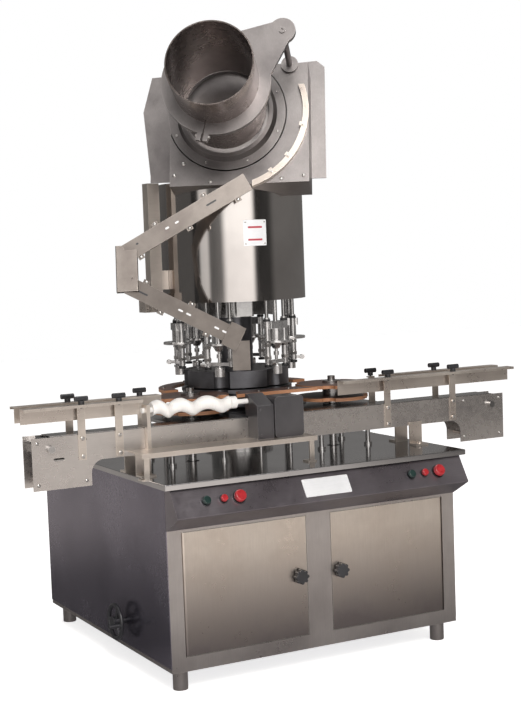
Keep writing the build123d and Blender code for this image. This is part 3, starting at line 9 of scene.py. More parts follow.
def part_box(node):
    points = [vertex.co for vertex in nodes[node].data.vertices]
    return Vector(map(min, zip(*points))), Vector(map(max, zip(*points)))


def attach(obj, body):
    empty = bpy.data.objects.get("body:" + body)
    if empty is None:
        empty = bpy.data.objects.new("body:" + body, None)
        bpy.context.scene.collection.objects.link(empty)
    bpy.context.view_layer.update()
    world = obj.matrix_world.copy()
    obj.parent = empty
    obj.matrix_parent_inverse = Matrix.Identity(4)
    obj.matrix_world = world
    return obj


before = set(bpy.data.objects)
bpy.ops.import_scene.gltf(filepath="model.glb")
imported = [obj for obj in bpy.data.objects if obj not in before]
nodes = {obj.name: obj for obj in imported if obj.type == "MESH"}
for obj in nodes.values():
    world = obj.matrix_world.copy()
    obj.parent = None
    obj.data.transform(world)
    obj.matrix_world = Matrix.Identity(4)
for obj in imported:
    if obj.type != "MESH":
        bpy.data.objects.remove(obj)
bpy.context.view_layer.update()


# ---------------------------------------------------------------- materials
class Graph:
    """A short way to write a material's nodes."""

    def __init__(self, name):
        self.material = bpy.data.materials.new(name)
        self.material.use_nodes = True
        self.tree = self.material.node_tree
        self.shader = self.tree.nodes["Principled BSDF"]
        self.place = self.add("ShaderNodeTexCoord").outputs["Object"]

    def add(self, kind, **settings):
        node = self.tree.nodes.new(kind)
        for key, value in settings.items():
            setattr(node, key, value)
        return node

    def link(self, start, end):
        self.tree.links.new(start, end)

    def stretched(self, scale, turn=(0, 0, 0)):
        """The piece's own coordinates, stretched."""
        mapping = self.add("ShaderNodeMapping")
        mapping.inputs["Scale"].default_value = scale
        mapping.inputs["Rotation"].default_value = [math.radians(v) for v in turn]
        self.link(self.place, mapping.inputs["Vector"])
        return mapping.outputs["Vector"]

    def noise(self, vector, scale, detail=3.0, rough=0.55):
        node = self.add("ShaderNodeTexNoise")
        node.inputs["Scale"].default_value = scale
        node.inputs["Detail"].default_value = detail
        node.inputs["Roughness"].default_value = rough
        self.link(vector, node.inputs["Vector"])
        return node.outputs["Fac"]

    def ramp(self, value, stops):
        node = self.add("ShaderNodeValToRGB")
        elements = node.color_ramp.elements
        while len(elements) < len(stops):
            elements.new(0.5)
        for element, (position, colour) in zip(elements, stops):
            element.position = position
            element.color = (*colour, 1.0)
        self.link(value, node.inputs["Fac"])
        return node.outputs["Color"]

    def spread(self, value, low, high, start=0.25, end=0.75):
        """value carried from start..end to low..high."""
        node = self.add("ShaderNodeMapRange")
        node.inputs["From Min"].default_value = start
        node.inputs["From Max"].default_value = end
        node.inputs["To Min"].default_value = low
        node.inputs["To Max"].default_value = high
        self.link(value, node.inputs["Value"])
        return node.outputs["Result"]

    def blend(self, share, first, second, way="MIX"):
        node = self.add("ShaderNodeMix", data_type="RGBA", blend_type=way)
        for socket, value in ((node.inputs[0], share), (node.inputs[6], first), (node.inputs[7], second)):
            if hasattr(value, "is_linked") or hasattr(value, "links"):
                self.link(value, socket)
            elif isinstance(value, tuple):
                socket.default_value = (*value, 1.0)
            else:
                socket.default_value = value
        return node.outputs[2]

    def bump(self, height, strength, distance, after=None):
        node = self.add("ShaderNodeBump")
        node.inputs["Strength"].default_value = strength
        node.inputs["Distance"].default_value = distance
        self.link(height, node.inputs["Height"])
        if after is not None:
            self.link(after, node.inputs["Normal"])
        return node.outputs["Normal"]

    def edge_wear_and_highlight(self, radius=0.0022):
        """Large on a piece's edges, nothing on its flats."""
        rounded = self.add("ShaderNodeBevel")
        rounded.samples = 4
        rounded.inputs["Radius"].default_value = radius
        flat = self.add("ShaderNodeNewGeometry")
        dot = self.add("ShaderNodeVectorMath", operation="DOT_PRODUCT")
        self.link(rounded.outputs[0], dot.inputs[0])
        self.link(flat.outputs["Normal"], dot.inputs[1])
        return self.spread(dot.outputs["Value"], 1.0, 0.0, 0.80, 0.99)


def steel(name, dark, light, rough=(0.24, 0.40), grain=(1.0, 1.0, 60.0), smudge=3.0, grain_depth=0.000012,
          metal=1.0, reflection_fade=None):
    """Ground sheet steel: a long fine grain, cloudy wiping marks and edges painted lighter as a painted
    highlight.
    The last argument is (low z, high z, colour at the low end), a slow darkening down the sheet that is a
    painted reflection of a dim floor."""
    g = Graph(name)
    lines = g.noise(g.stretched(grain), 14.0, 4.0, 0.7)
    cloud = g.noise(g.place, smudge, 5.0, 0.6)
    spots = g.noise(g.place, 55.0, 2.0, 0.5)
    colour = g.ramp(cloud, ((0.32, dark), (0.68, light)))
    colour = g.blend(g.spread(lines, 0.0, 0.35), colour, tuple(v * 0.72 for v in dark))
    # painted reflection: the sheet darkens towards the bottom, towards the given colour
    if reflection_fade:
        low, high, tint = reflection_fade
        split = g.add("ShaderNodeSeparateXYZ")
        g.link(g.place, split.inputs[0])
        height = g.spread(split.outputs["Z"], 1.0, 0.0, low, high)
        waved = g.add("ShaderNodeMath", operation="MULTIPLY")
        g.link(height, waved.inputs[0])
        g.link(g.spread(cloud, 0.75, 1.15), waved.inputs[1])
        waved.use_clamp = True
        colour = g.blend(waved.outputs[0], colour, tint)
    # painted highlight: the edges are made lighter in colour
    edge = g.edge_wear_and_highlight()
    colour = g.blend(edge, colour, tuple(min(1.0, v * 1.25) for v in light))
    g.link(colour, g.shader.inputs["Base Color"])
    g.shader.inputs["Metallic"].default_value = metal
    roughness = g.add("ShaderNodeMath", operation="ADD")
    g.link(g.spread(cloud, rough[0], rough[1]), roughness.inputs[0])
    g.link(g.spread(spots, -0.03, 0.05), roughness.inputs[1])
    g.link(roughness.outputs[0], g.shader.inputs["Roughness"])
    g.link(g.bump(lines, 0.35, grain_depth), g.shader.inputs["Normal"])
    return g.material


def mirror_steel(name, dark, light, rough=(0.06, 0.14), grain=(30.0, 30.0, 1.0), metal=1.0):
    """Polished steel: faint polishing lines, slight waves in the sheet."""
    g = Graph(name)
    lines = g.noise(g.stretched(grain), 10.0, 3.0, 0.6)
    cloud = g.noise(g.place, 2.2, 4.0, 0.55)
    colour = g.ramp(cloud, ((0.3, dark), (0.7, light)))
    # painted highlight: the edges are made a little lighter in colour
    colour = g.blend(g.edge_wear_and_highlight(), colour, tuple(min(1.0, v * 1.1) for v in light))
    g.link(colour, g.shader.inputs["Base Color"])
    g.shader.inputs["Metallic"].default_value = metal
    g.link(g.spread(lines, rough[0], rough[1]), g.shader.inputs["Roughness"])
    wave = g.bump(g.noise(g.place, 5.0, 2.0, 0.4), 0.25, 0.0012)
    g.link(g.bump(lines, 0.2, 0.00002, wave), g.shader.inputs["Normal"])
    return g.material


def paint(name, dark, light, rough=(0.32, 0.48), coat=0.0, metal=0.0, pimple=160.0, depth=0.00006):
    """Sprayed paint or moulded plastic: orange peel, dust and rubbed edges."""
    g = Graph(name)
    peel = g.noise(g.place, pimple, 2.0, 0.5)
    cloud = g.noise(g.place, 4.0, 5.0, 0.6)
    colour = g.ramp(cloud, ((0.3, dark), (0.7, light)))
    colour = g.blend(g.edge_wear_and_highlight(), colour, tuple(min(1.0, v * 1.8 + 0.05) for v in light))
    g.link(colour, g.shader.inputs["Base Color"])
    g.shader.inputs["Metallic"].default_value = metal
    g.shader.inputs["Coat Weight"].default_value = coat
    g.shader.inputs["Coat Roughness"].default_value = 0.12
    g.link(g.spread(cloud, rough[0], rough[1]), g.shader.inputs["Roughness"])
    g.link(g.bump(peel, 0.4, depth), g.shader.inputs["Normal"])
    return g.material


def laminate(name, plates, hub=None):
    """Cotton laminate plates, dark on their faces and coppery where the cutter has been.
    plates are the z ranges that are laminate; all else, and what is inside hub, is turned steel."""
    g = Graph(name)
    split = g.add("ShaderNodeSeparateXYZ")
    g.link(g.place, split.inputs[0])
    inside = None
    for z_low, z_high in plates:
        middle = g.add("ShaderNodeMath", operation="COMPARE")
        g.link(split.outputs["Z"], middle.inputs[0])
        middle.inputs[1].default_value = (z_low + z_high) / 2
        middle.inputs[2].default_value = (z_high - z_low) / 2 + 0.0004
        if inside is None:
            inside = middle.outputs[0]
        else:
            either = g.add("ShaderNodeMath", operation="MAXIMUM")
            g.link(inside, either.inputs[0])
            g.link(middle.outputs[0], either.inputs[1])
            inside = either.outputs[0]
    if hub:
        x, y, radius = hub
        flat = g.add("ShaderNodeCombineXYZ")
        g.link(split.outputs["X"], flat.inputs[0])
        g.link(split.outputs["Y"], flat.inputs[1])
        away = g.add("ShaderNodeVectorMath", operation="DISTANCE")
        g.link(flat.outputs[0], away.inputs[0])
        away.inputs[1].default_value = (x, y, 0)
        outside = g.add("ShaderNodeMath", operation="GREATER_THAN")
        g.link(away.outputs["Value"], outside.inputs[0])
        outside.inputs[1].default_value = radius
        both = g.add("ShaderNodeMath", operation="MULTIPLY")
        g.link(inside, both.inputs[0])
        g.link(outside.outputs[0], both.inputs[1])
        inside = both.outputs[0]
    weave = g.add("ShaderNodeTexWave", wave_type="BANDS", bands_direction="X")
    weave.inputs["Scale"].default_value = 160.0
    weave.inputs["Distortion"].default_value = 1.4
    g.link(g.place, weave.inputs["Vector"])
    cloud = g.noise(g.place, 9.0, 4.0, 0.6)
    colour = g.ramp(cloud, ((0.3, (0.045, 0.026, 0.022)), (0.7, (0.105, 0.055, 0.042))))
    colour = g.blend(0.15, colour, weave.outputs["Color"], "OVERLAY")
    layers = g.noise(g.stretched((0.4, 0.4, 90.0)), 9.0, 2.0, 0.5)
    faces = g.add("ShaderNodeSeparateXYZ")
    g.link(g.add("ShaderNodeNewGeometry").outputs["Normal"], faces.inputs[0])
    level = g.add("ShaderNodeMath", operation="ABSOLUTE")
    g.link(faces.outputs["Z"], level.inputs[0])
    upright = g.spread(level.outputs[0], 1.0, 0.0, 0.2, 0.7)
    edge = g.ramp(layers, ((0.35, (0.30, 0.13, 0.07)), (0.65, (0.50, 0.25, 0.13))))
    colour = g.blend(upright, colour, edge)
    turned = g.ramp(g.noise(g.stretched((1.0, 1.0, 60.0)), 14.0, 4.0, 0.7),
                    ((0.3, (0.34, 0.33, 0.33)), (0.7, (0.58, 0.57, 0.56))))
    g.link(g.blend(inside, turned, colour), g.shader.inputs["Base Color"])
    g.link(g.spread(inside, 1.0, 0.0, 0.0, 1.0), g.shader.inputs["Metallic"])
    rough = g.add("ShaderNodeMath", operation="MULTIPLY_ADD")
    g.link(inside, rough.inputs[0])
    rough.inputs[1].default_value = 0.18
    g.link(g.spread(cloud, 0.18, 0.30), rough.inputs[2])
    g.link(rough.outputs[0], g.shader.inputs["Roughness"])
    g.link(g.bump(layers, 0.3, 0.00008), g.shader.inputs["Normal"])
    return g.material


def nylon(name, light=(0.86, 0.84, 0.82)):
    g = Graph(name)
    lines = g.noise(g.stretched((90.0, 1.0, 1.0)), 6.0, 3.0, 0.6)
    cloud = g.noise(g.place, 12.0, 4.0, 0.6)
    colour = g.ramp(cloud, ((0.3, tuple(v * 0.88 for v in light)), (0.7, light)))
    g.link(colour, g.shader.inputs["Base Color"])
    g.shader.inputs["Subsurface Weight"].default_value = 0.12
    g.shader.inputs["Subsurface Radius"].default_value = (0.006, 0.005, 0.004)
    g.link(g.spread(lines, 0.22, 0.38), g.shader.inputs["Roughness"])
    g.link(g.bump(lines, 0.3, 0.00006), g.shader.inputs["Normal"])
    return g.material


def lens(name, colour):
    """A moulded push button: dyed plastic with a clear skin and fine ribs."""
    g = Graph(name)
    cloud = g.noise(g.place, 60.0, 3.0, 0.5)
    shade = g.ramp(cloud, ((0.3, tuple(v * 0.7 for v in colour)), (0.7, colour)))
    g.link(shade, g.shader.inputs["Base Color"])
    g.shader.inputs["Coat Weight"].default_value = 0.6
    g.shader.inputs["Coat Roughness"].default_value = 0.08
    g.link(g.spread(cloud, 0.25, 0.4), g.shader.inputs["Roughness"])
    g.link(g.bump(g.noise(g.place, 240.0, 2.0, 0.5), 0.3, 0.00008), g.shader.inputs["Normal"])
    return g.material


# how a sheet was ground or turned, as stretches of the piece's own coordinates: large values are fine lines
UPRIGHT_GRAIN = (60.0, 60.0, 1.0)
LENGTHWISE_GRAIN = (1.0, 60.0, 60.0)
TURNED_GRAIN = (1.0, 1.0, 60.0)
EVEN_GRAIN = (40.0, 40.0, 40.0)
FINE_DEPTH = 0.00001
# the doors darken towards the bottom: painted reflection of the dim floor just in front of them
DOOR_REFLECTION_FADE = (0.12, 0.46, (0.30, 0.265, 0.26))

SHEET_STEEL = steel("ground_steel", (0.40, 0.365, 0.355), (0.60, 0.56, 0.54),
                    grain=UPRIGHT_GRAIN, metal=0.92)
RUN_STEEL = steel("ground_steel_along", (0.50, 0.47, 0.455), (0.72, 0.68, 0.65), (0.22, 0.34),
                  LENGTHWISE_GRAIN, grain_depth=FINE_DEPTH, metal=0.92)
WARM_STEEL = steel("light_steel", (0.60, 0.53, 0.48), (0.82, 0.75, 0.68), (0.24, 0.38),
                   LENGTHWISE_GRAIN, grain_depth=FINE_DEPTH, metal=0.88)
DOOR_STEEL = steel("door_steel", (0.70, 0.62, 0.55), (0.90, 0.82, 0.74), (0.26, 0.38),
                   UPRIGHT_GRAIN, 5.0, reflection_fade=DOOR_REFLECTION_FADE)
SIDE_STEEL = steel("side_steel", (0.20, 0.185, 0.235), (0.38, 0.355, 0.43), (0.16, 0.30),
                   UPRIGHT_GRAIN, 2.0, metal=0.95)
MACHINED = steel("turned_steel", (0.36, 0.355, 0.355), (0.64, 0.63, 0.62), (0.12, 0.26),
                 TURNED_GRAIN, 9.0)
HUB_STEEL = steel("dull_hub_steel", (0.10, 0.10, 0.11), (0.22, 0.22, 0.235), (0.28, 0.42),
                  TURNED_GRAIN, 6.0)
HEAD_STEEL = steel("head_steel", (0.55, 0.54, 0.54), (0.88, 0.87, 0.86), (0.08, 0.20),
                   TURNED_GRAIN, 30.0, metal=0.9)
MIRROR = mirror_steel("drum_steel", (0.58, 0.54, 0.52), (0.82, 0.78, 0.75), (0.07, 0.15))
TABLE = mirror_steel("table_steel", (0.42, 0.41, 0.42), (0.62, 0.61, 0.62), (0.08, 0.18), (1.0, 30.0, 30.0))
CONSOLE = steel("console_steel", (0.20, 0.175, 0.195), (0.36, 0.33, 0.355), (0.24, 0.38),
                LENGTHWISE_GRAIN, 3.0, metal=0.9)
FEEDER = steel("feeder_steel", (0.20, 0.185, 0.185), (0.34, 0.32, 0.315), (0.30, 0.46),
               (30.0, 30.0, 1.0), 5.0)
TUBE = steel("rolled_steel", (0.20, 0.165, 0.155), (0.40, 0.35, 0.33), (0.16, 0.32), (1.0, 1.0, 40.0), 6.0)
CHUTE = steel("chute_steel", (0.17, 0.150, 0.138), (0.30, 0.272, 0.25), (0.30, 0.44), EVEN_GRAIN, 7.0)
PLATE = steel("plate_aluminium", (0.74, 0.75, 0.77), (0.88, 0.88, 0.90), (0.3, 0.42),
              LENGTHWISE_GRAIN, 8.0, metal=0.2)
CAST = paint("cast_paint", (0.15, 0.16, 0.17), (0.24, 0.25, 0.26), (0.42, 0.6),
             metal=0.2, pimple=220.0, depth=0.0003)
GUARD = paint("guard_paint", (0.035, 0.033, 0.036), (0.075, 0.07, 0.074), (0.3, 0.42), 0.2)
BLACK = paint("black_plastic", (0.010, 0.010, 0.012), (0.030, 0.030, 0.034), (0.28, 0.42), 0.25)
PHENOLIC_LEVEL = (0.923, 0.935)
STAR_LEVELS = ((0.876, 0.888), (0.922, 0.934))
PHENOLIC = laminate("phenolic_guides", (PHENOLIC_LEVEL,))
STAR_X, STAR_Y = (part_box("discharge_star")[0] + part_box("discharge_star")[1]).xy / 2
STAR_HUB = 0.035
LEFT_STAR = laminate("phenolic_left_star", STAR_LEVELS, (-STAR_X, STAR_Y, STAR_HUB))
RIGHT_STAR = laminate("phenolic_right_star", STAR_LEVELS, (STAR_X, STAR_Y, STAR_HUB))
NYLON = nylon("nylon")
GREEN = lens("button_green", (0.008, 0.030, 0.026))
RED = lens("button_red", (0.42, 0.016, 0.022))

GROUPS = (
    (SHEET_STEEL, "base_frame feet"),
    (SIDE_STEEL, "cabinet_panels"),
    (TABLE, "table_top"),
    (DOOR_STEEL, "left_door right_door"),
    (BLACK, "left_door_knob right_door_knob rail_clamp_knobs handwheel"),
    (CONSOLE, "control_console"),
    (PLATE, "name_plate"),
    (MACHINED, "slat_chain idler_sprocket drive_sprocket upper_rotor transfer_deck"),
    (HUB_STEEL, "turret_column button_bezels"),
    (CAST, "base_drive"),
    (RUN_STEEL, "conveyor_front_plate conveyor_rear_plate"),
    (WARM_STEEL, "conveyor_supports near_rail_left near_rail_right far_rail_left far_rail_right"),
    (WARM_STEEL, "rail_brackets screw_platform cap_track lift_column"),
    (NYLON, "timing_screw"),
    (GUARD, "screw_gearbox"),
    (PHENOLIC, "guide_plate"),
    (LEFT_STAR, "infeed_star"),
    (RIGHT_STAR, "discharge_star"),
    (MIRROR, "drum_cover"),
    (FEEDER, "feeder_housing feeder_disc tube_clamp"),
    (CHUTE, "cap_chute"),
    (TUBE, "hopper_tube"),
    (GREEN, "push_button_1 push_button_4"),
    (RED, "push_button_2 push_button_3 push_button_5 push_button_6"),
)
looks = {name: material for material, names in GROUPS for name in names.split()}
HEADS = range(1, 7)
for number in HEADS:
    looks[f"capping_head_{number}"] = HEAD_STEEL
    looks[f"chuck_spindle_{number}"] = HEAD_STEEL
for name, node in nodes.items():
    node.data.materials.clear()
    node.data.materials.append(looks[name])


# ---------------------------------------------------------------- camera, light, floor
def aim(location, forward, roll=0.0):
    """A matrix that looks along forward from location."""
    forward = Vector(forward).normalized()
    right = forward.cross(Vector((0, 0, 1))).normalized()
    up = right.cross(forward)
    side = right * math.cos(roll) + up * math.sin(roll)
    top = -right * math.sin(roll) + up * math.cos(roll)
    matrix = Matrix((side, top, -forward)).transposed().to_4x4()
    matrix.translation = Vector(location)
    return matrix


YAW, PITCH, ROLL = math.radians(27.924), math.radians(4.546), math.radians(-2.075)
camera = bpy.data.objects.new("camera", bpy.data.cameras.new("camera"))
bpy.context.scene.collection.objects.link(camera)
camera.data.lens = 70.36
camera.data.sensor_width = 36.0
camera.data.clip_end = 60.0
CAMERA_PLACE = (-2.377, -4.661, 1.441)
ahead = (math.sin(YAW) * math.cos(PITCH), math.cos(YAW) * math.cos(PITCH), -math.sin(PITCH))
camera.matrix_world = aim(CAMERA_PLACE, ahead, ROLL)
bpy.context.scene.camera = camera


def lamp(name, location, target, size, power, colour=(1, 1, 1)):
    data = bpy.data.lights.new(name, "AREA")
    data.shape = "RECTANGLE"
    data.size, data.size_y = size
    data.energy = power
    data.color = colour
    o = bpy.data.objects.new(name, data)
    bpy.context.scene.collection.objects.link(o)
    o.matrix_world = aim(location, Vector(target) - Vector(location))
    return o


lamp("key", (-1.6, -4.6, 4.0), (0, 0, 1.0), (1.6, 1.6), 100, (1.0, 0.97, 0.93))
lamp("overhead", (0.2, 0.4, 4.4), (0, 0, 1.0), (3.0, 3.0), 80)
lamp("side", (3.4, -3.6, 2.4), (0, 0, 0.9), (1.2, 2.0), 30, (1.0, 0.95, 0.88)).visible_glossy = False

world = bpy.data.worlds.new("studio")
bpy.context.scene.world = world
bpy.context.scene.view_settings.view_transform = "Standard"
world.use_nodes = True
tree = world.node_tree


def world_node(kind, **settings):
    node = tree.nodes.new(kind)
    for key, value in settings.items():
        setattr(node, key, value)
    return node


def world_ramp(value, stops):
    node = world_node("ShaderNodeValToRGB")
    node.color_ramp.interpolation = "EASE"
    while len(node.color_ramp.elements) < len(stops):
        node.color_ramp.elements.new(0.5)
    for element, (position, level) in zip(node.color_ramp.elements, stops):
        element.position = position
        element.color = (level, level * 0.985, level * 0.97, 1.0)
    tree.links.new(value, node.inputs["Fac"])
    return node.outputs["Color"]


# a narrow and a wide soft box in a dim room, which polished steel shows as upright bands:
# where each step stands round the room, as a share of the turn from -X through -Y, and its brightness
SOFT_BOXES = ((0.0, 0.05), (0.026, 0.07), (0.040, 1.5), (0.066, 1.7), (0.084, 0.28),
              (0.125, 0.40), (0.158, 2.9), (0.262, 3.2), (0.286, 0.05),
              (0.34, 0.09), (0.38, 0.36), (0.62, 0.34), (0.86, 0.20))
ROOM_HEIGHT = ((0.0, 0.55), (0.25, 1.0), (0.65, 0.85), (0.95, 0.5))
coordinates = world_node("ShaderNodeTexCoord")
split = world_node("ShaderNodeSeparateXYZ")
tree.links.new(coordinates.outputs["Generated"], split.inputs[0])
bearing = world_node("ShaderNodeMath", operation="ARCTAN2")
tree.links.new(split.outputs["Y"], bearing.inputs[0])
tree.links.new(split.outputs["X"], bearing.inputs[1])
turned_share = world_node("ShaderNodeMapRange")
turned_share.inputs["From Min"].default_value = -math.pi
turned_share.inputs["From Max"].default_value = math.pi
tree.links.new(bearing.outputs[0], turned_share.inputs["Value"])
boxes = world_ramp(turned_share.outputs["Result"], SOFT_BOXES)
height = world_ramp(split.outputs["Z"], ROOM_HEIGHT)
room = world_node("ShaderNodeMix", data_type="RGBA", blend_type="MULTIPLY")
room.inputs[0].default_value = 1.0
tree.links.new(boxes, room.inputs[6])
tree.links.new(height, room.inputs[7])
background = tree.nodes["Background"]
tree.links.new(room.outputs[2], background.inputs["Color"])
background.inputs["Strength"].default_value = 0.75
seen = world_node("ShaderNodeBackground")
seen.inputs["Color"].default_value = (1, 1, 1, 1)
ray = world_node("ShaderNodeLightPath")
mix = world_node("ShaderNodeMixShader")
tree.links.new(ray.outputs["Is Camera Ray"], mix.inputs["Fac"])
tree.links.new(background.outputs[0], mix.inputs[1])
tree.links.new(seen.outputs[0], mix.inputs[2])
tree.links.new(mix.outputs[0], tree.nodes["World Output"].inputs["Surface"])

floor_mesh = bpy.data.meshes.new("floor")
FLOOR_REACH = 14
floor_corners = [(x * FLOOR_REACH, y * FLOOR_REACH, 0) for x, y in ((-1, -1), (1, -1), (1, 1), (-1, 1))]
floor_mesh.from_pydata(floor_corners, [], [(0, 1, 2, 3)])
floor = bpy.data.objects.new("floor", floor_mesh)
bpy.context.scene.collection.objects.link(floor)
ground = Graph("floor")


def grey(level):
    return (level, level, level)


tone = ground.ramp(ground.noise(ground.place, 0.6, 2.0), ((0.3, grey(0.90)), (0.7, grey(0.95))))
ground.link(tone, ground.shader.inputs["Base Color"])
ground.shader.inputs["Roughness"].default_value = 0.8
ground.shader.inputs["Emission Color"].default_value = (1, 1, 1, 1)
ground.shader.inputs["Emission Strength"].default_value = 0.72
# what steel sees of the floor, painted light and painted shadow that only glossy rays see: dim close to the
# machine, a painted shadow of it, and bright further out. Far off, the painted light is only ahead of the
# left half, so that the conveyor's right end is dark.
NEAR_FAR = ((0.08, (0.14, 0.13, 0.13)), (0.20, (0.30, 0.28, 0.27)), (0.36, (1.0, 0.92, 0.85)),
            (0.58, (0.90, 0.84, 0.78)), (0.80, (0.62, 0.58, 0.56)))
GLOW_NEAR = ((0.0, grey(0.55)), (0.10, grey(1.0)), (0.31, grey(1.0)), (0.36, grey(0.6)), (0.5, grey(0.38)))
GLOW_FAR = ((0.0, grey(0.20)), (0.20, grey(1.0)), (0.295, grey(1.0)), (0.325, grey(0.42)),
            (0.355, grey(0.12)), (0.5, grey(0.40)))
GLOW_LENGTH, FAR_FROM, FAR_TO = 8.0, 3.8, 5.6
distance = ground.add("ShaderNodeVectorMath", operation="LENGTH")
ground.link(ground.place, distance.inputs[0])
share = ground.spread(distance.outputs["Value"], 0.0, 1.0, 0.0, GLOW_LENGTH)
near_far = ground.ramp(share, NEAR_FAR)
floor_split = ground.add("ShaderNodeSeparateXYZ")
ground.link(ground.place, floor_split.inputs[0])
floor_bearing = ground.add("ShaderNodeMath", operation="ARCTAN2")
ground.link(floor_split.outputs["Y"], floor_bearing.inputs[0])
ground.link(floor_split.outputs["X"], floor_bearing.inputs[1])
floor_share = ground.spread(floor_bearing.outputs[0], 0.0, 1.0, -math.pi, math.pi)
glow_near = ground.ramp(floor_share, GLOW_NEAR)
glow_far = ground.ramp(floor_share, GLOW_FAR)
far_share = ground.spread(distance.outputs["Value"], 0.0, 1.0, FAR_FROM, FAR_TO)
shown = ground.blend(1.0, near_far, ground.blend(far_share, glow_near, glow_far), "MULTIPLY")
glow = ground.add("ShaderNodeEmission")
ground.link(shown, glow.inputs["Color"])
glow.inputs["Strength"].default_value = 1.15
glossy = ground.add("ShaderNodeLightPath")
both = ground.add("ShaderNodeMixShader")
ground.link(glossy.outputs["Is Glossy Ray"], both.inputs["Fac"])
ground.link(ground.shader.outputs[0], both.inputs[1])
ground.link(glow.outputs[0], both.inputs[2])
ground.link(both.outputs[0], ground.tree.nodes["Material Output"].inputs["Surface"])
floor_mesh.materials.append(ground.material)


def new_piece(name, mesh_data, material, body, smooth=35.0):
    """Makes a piece from a bmesh, names its finish and lets it ride on a body."""
    mesh = bpy.data.meshes.new(name)
    mesh_data.to_mesh(mesh)
    mesh_data.free()
    mesh.materials.append(material)
    o = bpy.data.objects.new(name, mesh)
    bpy.context.scene.collection.objects.link(o)
    mesh.shade_smooth()
    mesh.set_sharp_from_angle(angle=math.radians(smooth))
    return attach(o, body)


def facing(direction, spin=0.0):
    """A turn that takes +Z to direction."""
    swing = Vector(direction).normalized().to_track_quat("Z", "Y").to_matrix().to_4x4()
    return swing @ Matrix.Rotation(spin, 4, "Z")


def ring_stack(b, place, rings, sides, hollow=False):
    """Adds a turned shape: rings is a list of (radius, height), place a matrix."""
    loops = []
    for radius, height in rings:
        loop = []
        for n in range(sides):
            angle = 2 * math.pi * n / sides
            point = Vector((radius * math.cos(angle), radius * math.sin(angle), height))
            loop.append(b.verts.new(place @ point))
        loops.append(loop)
    for low, high in zip(loops, loops[1:]):
        for n in range(sides):
            b.faces.new((low[n], low[(n + 1) % sides], high[(n + 1) % sides], high[n]))
    if hollow:
        for n in range(sides):
            b.faces.new((loops[-1][n], loops[-1][(n + 1) % sides], loops[0][(n + 1) % sides], loops[0][n]))
    else:
        b.faces.new(list(reversed(loops[0])))
        b.faces.new(loops[-1])


def add_hex_bolt(b, point, direction, size, spin=0.3):
    """A washer with a chamfered hexagon head on it; size is the thread radius."""
    place = Matrix.Translation(Vector(point)) @ facing(direction, spin)
    ring_stack(b, place, ((size * 2.0, 0), (size * 2.0, size * 0.28), (size * 1.9, size * 0.34)), 20)
    ring_stack(b, place, ((size * 1.7, size * 0.34), (size * 1.7, size * 1.15), (size * 1.45, size * 1.4)), 6)


def add_socket_screw(b, point, direction, size):
    """A cylinder head with a knurled rim and a hexagon socket."""
    place = Matrix.Translation(Vector(point)) @ facing(direction)
    ring_stack(b, place, ((size * 1.5, 0), (size * 1.5, size * 1.25), (size * 1.35, size * 1.4),
                          (size * 0.8, size * 1.4), (size * 0.75, size * 0.7)), 18)


def add_pan_screw(b, point, direction, size):
    """A domed head with a cross slot sunk in it."""
    place = Matrix.Translation(Vector(point)) @ facing(direction)
    ring_stack(b, place, ((size * 1.9, 0), (size * 1.8, size * 0.5), (size * 1.35, size * 0.9),
                          (size * 0.6, size * 1.05), (size * 0.5, size * 0.8)), 16)


def screws(name, maker, spots, size, material, body):
    b = bmesh.new()
    for point, direction in spots:
        maker(b, point, direction, size)
    return new_piece(name, b, material, body)


def low(name):
    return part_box(name)[0]


def high(name):
    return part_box(name)[1]


BOLT_STEEL = steel("bolt_steel", (0.46, 0.45, 0.44), (0.72, 0.70, 0.68), (0.18, 0.34), EVEN_GRAIN, 40.0)
RUBBER = paint("rubber", (0.012, 0.012, 0.013), (0.028, 0.028, 0.030), (0.55, 0.72),
               pimple=300.0, depth=0.0001)
MARK = paint("dull_red_enamel", (0.30, 0.03, 0.05), (0.46, 0.06, 0.08), (0.3, 0.45), 0.3)

# conveyor: hexagon heads on the bracket feet, and pan heads in the end sections
front_y = low("conveyor_front_plate").y
rear_y = high("conveyor_rear_plate").y
NEAR_BRACKETS = (-0.771, -0.640, 0.412, 0.701)
FAR_BRACKETS = (-0.778, -0.520, 0.406, 0.690)
FOOT_THICK, FOOT_BOLTS = 0.0082, (0.787, 0.846)
spots = [((x, front_y - FOOT_THICK, z), (0, -1, 0)) for x in NEAR_BRACKETS for z in FOOT_BOLTS]
spots += [((x, rear_y + FOOT_THICK, z), (0, 1, 0)) for x in FAR_BRACKETS for z in FOOT_BOLTS]
screws("bracket_bolts", add_hex_bolt, spots, 0.0034, BOLT_STEEL, "base")
END_SCREWS, END_LEVELS, GAP = (0.018, 0.182), (0.706, 0.842), 0.0002
left_end, right_end = low("conveyor_front_plate").x, high("conveyor_front_plate").x
end_x = [left_end + inset for inset in END_SCREWS] + [right_end - inset for inset in END_SCREWS]
spots = [((x, front_y - GAP, z), (0, -1, 0)) for x in end_x for z in END_LEVELS]
spots += [((x, rear_y + GAP, z), (0, 1, 0)) for x in end_x for z in END_LEVELS]
screws("end_section_screws", add_pan_screw, spots, 0.0030, BOLT_STEEL, "base")

# feeder: its own frame, out of the face plate
MACHINE_Y = 0.021
FEEDER_TURN, FEEDER_LEAN = math.radians(33.9), math.radians(16.4)
feeder_right = Vector((math.cos(FEEDER_TURN), -math.sin(FEEDER_TURN), 0))
forward = Vector((-math.sin(FEEDER_TURN), -math.cos(FEEDER_TURN), 0))
feeder_out = forward * math.cos(FEEDER_LEAN) + Vector((0, 0, math.sin(FEEDER_LEAN)))
feeder_up = feeder_out.cross(feeder_right)
FEEDER_Z, FEEDER_FORWARD, FEEDER_SIDE = 1.916, 0.230, 0.030
feeder_middle = Vector((0, MACHINE_Y, FEEDER_Z)) + forward * FEEDER_FORWARD + feeder_right * FEEDER_SIDE


def on_feeder(u, v, w):
    """A point in the feeder's frame, in mm."""
    return feeder_middle + (feeder_right * u + feeder_up * v + feeder_out * w) / 1000.0


